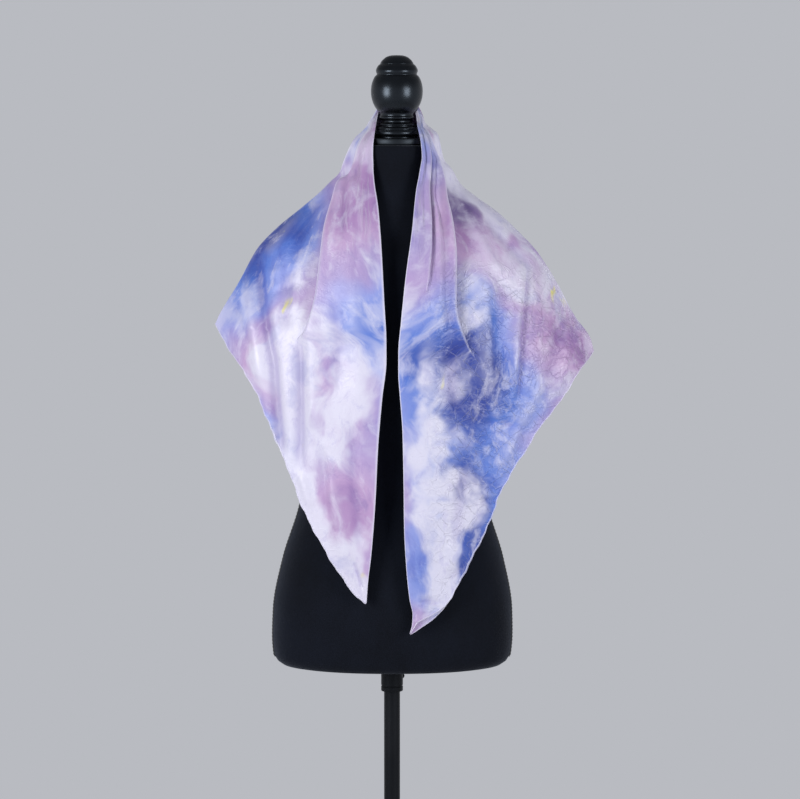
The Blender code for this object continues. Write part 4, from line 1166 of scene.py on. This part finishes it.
def build_back(cloth, left_rows, right_rows):
    """The back stretch, which shares its outer columns with the fronts above their corners."""
    heights = shared_heights(RIGHT.corner_height)
    heights += levels(RIGHT.corner_height, APEX_HEIGHT, CLOTH_ROW)[1:]
    rows = []
    for index, height in enumerate(heights):
        left_points, left_values = back_half(LEFT, height)
        right_points, right_values = back_half(RIGHT, height)
        from_left = [] if LEFT.hangs_behind(height) else [left_rows[index][-1]]
        from_right = [] if RIGHT.hangs_behind(height) else [right_rows[index][-1]]

        def whole(left, right):
            return np.concatenate((left[len(from_left):], right[len(from_right):-1][::-1]))

        values = {name: whole(left_values[name], right_values[name]) for name in left_values}
        rows.append(from_left + cloth.add(whole(left_points, right_points), values) + from_right)
    return rows


def chain_round(points, chain, rounds):
    """Smooths the points of a chain between its ends."""
    for _ in range(rounds):
        line = points[chain]
        line[1:-1] = 0.5 * line[1:-1] + 0.25 * (line[:-2] + line[2:])
        points[chain] = line


def point_normals(points, quads):
    """The outward direction at each point: the area-weighted mean over its faces."""
    quads = np.array(quads)
    crossed = np.cross(points[quads[:, 2]] - points[quads[:, 0]], points[quads[:, 3]] - points[quads[:, 1]])
    normals = np.zeros_like(points)
    for corner in range(4):
        np.add.at(normals, quads[:, corner], crossed)
    return unit(normals)


def tip_curl(points):
    """How far the outer layer curls up at the right end, where the under layer shows below it."""
    reach = RIGHT.tip_height + TIP_REACH - points[:, 2]
    inward = points[:, 0] - RIGHT.fold(points[:, 2])
    on_right_front = (points[:, 1] < 0.0) * (points[:, 0] > 0.0)
    share = smooth_step(reach / TIP_REACH) * smooth_step(inward / TIP_FOLD) * on_right_front
    return share[:, None] * np.array(TIP_CURL)


def fold_chain(left_rows, right_rows, back_rows):
    """Points along the folded edge: left tip, behind the neck, right tip."""
    chain = [row[0] for row in left_rows[::-1]] + left_rows[0][1:] + back_rows[0][1:-1]
    return chain + right_rows[0][::-1] + [row[0] for row in right_rows[1:]]


def fold_rims(line, half_gap, normals):
    """Rows of points round the folded edge, from the outer layer to the under one."""
    away = 0.5 * LAYER_GAP * unit(np.cross(unit(np.gradient(line, axis=0)), normals))
    turns = [math.pi * step / FOLD_STEPS for step in range(1, FOLD_STEPS)]
    return [line + math.cos(turn) * half_gap + math.sin(turn) * away for turn in turns]


def build_scarf(silk, hem_silk):
    """The doubled sheet. Its points are the outer layer's, then the under layer's, then the fold's."""
    cloth = Cloth()
    left_rows = build_front(cloth, LEFT)
    right_rows = build_front(cloth, RIGHT)
    back_rows = build_back(cloth, left_rows, right_rows)
    cloth.join(left_rows)
    cloth.join(right_rows, backward=True)
    cloth.join(back_rows)
    middle = np.array(cloth.points)
    values = {name: np.array(kept) for name, kept in cloth.values.items()}
    fold = fold_chain(left_rows, right_rows, back_rows)
    chain_round(middle, fold[len(left_rows) - FOLD_EASE:FOLD_EASE - len(right_rows)], FOLD_ROUNDS)

    normals = point_normals(middle, cloth.quads)
    half_gap = 0.5 * LAYER_GAP * normals
    outer = middle + half_gap + tip_curl(middle)
    under = middle - half_gap
    rims = fold_rims(middle[fold], half_gap[fold], normals[fold])

    used = sorted({corner for face in cloth.under_faces for corner in face})
    under_index = {corner: len(middle) + index for index, corner in enumerate(used)}
    faces = list(cloth.quads)
    faces += [tuple(under_index[corner] for corner in reversed(face)) for face in cloth.under_faces]
    rim_rows = [fold]
    start = len(middle) + len(used)
    for _ in rims:
        rim_rows.append(range(start, start + len(fold)))
        start += len(fold)
    rim_rows.append([under_index[corner] for corner in fold])
    for upper, lower in zip(rim_rows, rim_rows[1:]):
        for column in range(len(fold) - 1):
            faces.append((upper[column + 1], upper[column], lower[column], lower[column + 1]))

    scarf = make_piece(
        "silk_square", np.concatenate((outer, under[used], *rims)), faces, silk, "form",
        ["scarf_left_front", "scarf_right_front", "scarf_back"], "silk",
    )
    for name, kept in values.items():
        store(scarf, name, np.concatenate((kept, kept[used]) + (kept[fold],) * len(rims)))
    hem = hem_chain(left_rows, right_rows, back_rows)
    places = values["cloth_place"][hem]
    hems = [
        build_hem("rolled_hem_outer", outer[hem], places, 0.0, hem_silk),
        build_hem("rolled_hem_under", under[hem], places, UNDER_HEM_OUT, hem_silk),
    ]


def hem_chain(left_rows, right_rows, back_rows):
    """Points along the hem: left tip, left corner, the square's corner behind, right corner, right tip."""
    left_corner, right_corner = [len(shared_heights(side.corner_height)) for side in (LEFT, RIGHT)]
    left = left_rows[-1][:-1] + [row[-1] for row in left_rows[left_corner - 1:]][::-1]
    right = [row[-1] for row in right_rows[right_corner - 1:]] + right_rows[-1][:-1][::-1]
    back_left = [row[0] for row in back_rows[left_corner:]]
    back_right = [row[-1] for row in back_rows[right_corner:]][::-1]
    return left + back_left + back_rows[-1][1:-1] + back_right + right


def build_hem(name, line, places, outward, material):
    """A hand-rolled hem: a thin tube along the cloth's edge, puckered by its stitches."""
    path, print_places = evenly(line, places, HEM_SPACING)
    away = unit((path - path.mean(axis=0)) * (1.0, 0.0, 1.0))
    travelled = HEM_SPACING * np.arange(len(path))
    share = UNDER_HEM_MEAN + (1.0 - UNDER_HEM_MEAN) * np.sin(travelled / UNDER_HEM_WAVE)
    path = path + away * (outward * share)[:, None]
    radii = HEM_RADIUS * (1.0 + PUCKER_SHARE * np.sin(2.0 * math.pi * travelled / HEM_PUCKER))
    hem = tube(name, path, radii, HEM_SIDES, material, "form", (), "silk")
    store(hem, "cloth_place", np.repeat(print_places, HEM_SIDES, axis=0))
    return hem


# ---- Camera, light, floor
def build_camera():
    lens = bpy.data.cameras.new("camera")
    lens.lens = CAMERA_LENS
    lens.sensor_width = SENSOR_WIDTH
    lens.clip_end = VIEW_END
    camera = add_object("camera", lens)
    camera.location = CAMERA_PLACE
    camera.rotation_euler = (math.radians(90.0) - CAMERA_DIP, 0.0, 0.0)
    bpy.context.scene.camera = camera


def build_softbox(name, side, end, watts):
    """A softbox turned to the scarf. Glossy surfaces mirror it only if it stands in front."""
    lamp = bpy.data.lights.new(name, "AREA")
    lamp.shape = "RECTANGLE"
    lamp.size, lamp.size_y = SOFTBOX_SIZE
    lamp.energy = watts
    softbox = add_object(name, lamp)
    softbox.visible_camera = False
    softbox.visible_glossy = end < 0.0
    x = side * SOFTBOX_REACH * math.sin(SOFTBOX_TURN)
    y = end * SOFTBOX_REACH * math.cos(SOFTBOX_TURN)
    softbox.location = (x, y, SOFTBOX_HEIGHT)
    toward = Vector(SOFTBOX_TARGET) - Vector((x, y, SOFTBOX_HEIGHT))
    softbox.rotation_euler = toward.to_track_quat("-Z", "Y").to_euler()


def build_air():
    """The studio's air, pale low down and darker toward the ceiling."""
    world = bpy.data.worlds.new("studio_air")
    nodes = Nodes(world)
    direction = nodes.add("TexCoord", {}).outputs["Generated"]
    rise = nodes.fraction(nodes.height(direction), *CEILING_RISE)
    air = nodes.mixed(rise, AIR_COLOUR, CEILING_COLOUR)
    nodes.fill(nodes.tree.nodes["Background"], {"Color": air})
    bpy.context.scene.world = world
    bpy.context.scene.view_settings.view_transform = "Standard"


def build_floor():
    mesh = bpy.data.meshes.new("studio_floor")
    mesh.from_pydata(circle(FLOOR_RADIUS, -FLOOR_DROP, sides=FLOOR_SIDES), [], [tuple(range(FLOOR_SIDES))])
    mesh.materials.append(make_floor_finish())
    add_object("studio_floor", mesh)


def main():
    paint = make_paint()
    build_foot(paint)
    build_pole(paint)
    build_collar(paint)
    build_screw(paint)
    build_torso(make_velvet())
    build_torso_seams(make_thread())
    build_finial(make_lacquer())
    build_scarf(make_silk("silk"), make_silk("hem_silk", HEM_HIGHLIGHT))
    build_camera()
    for softbox in SOFTBOXES:
        build_softbox(*softbox)
    build_air()
    build_floor()


main()
bpy.context.view_layer.update()
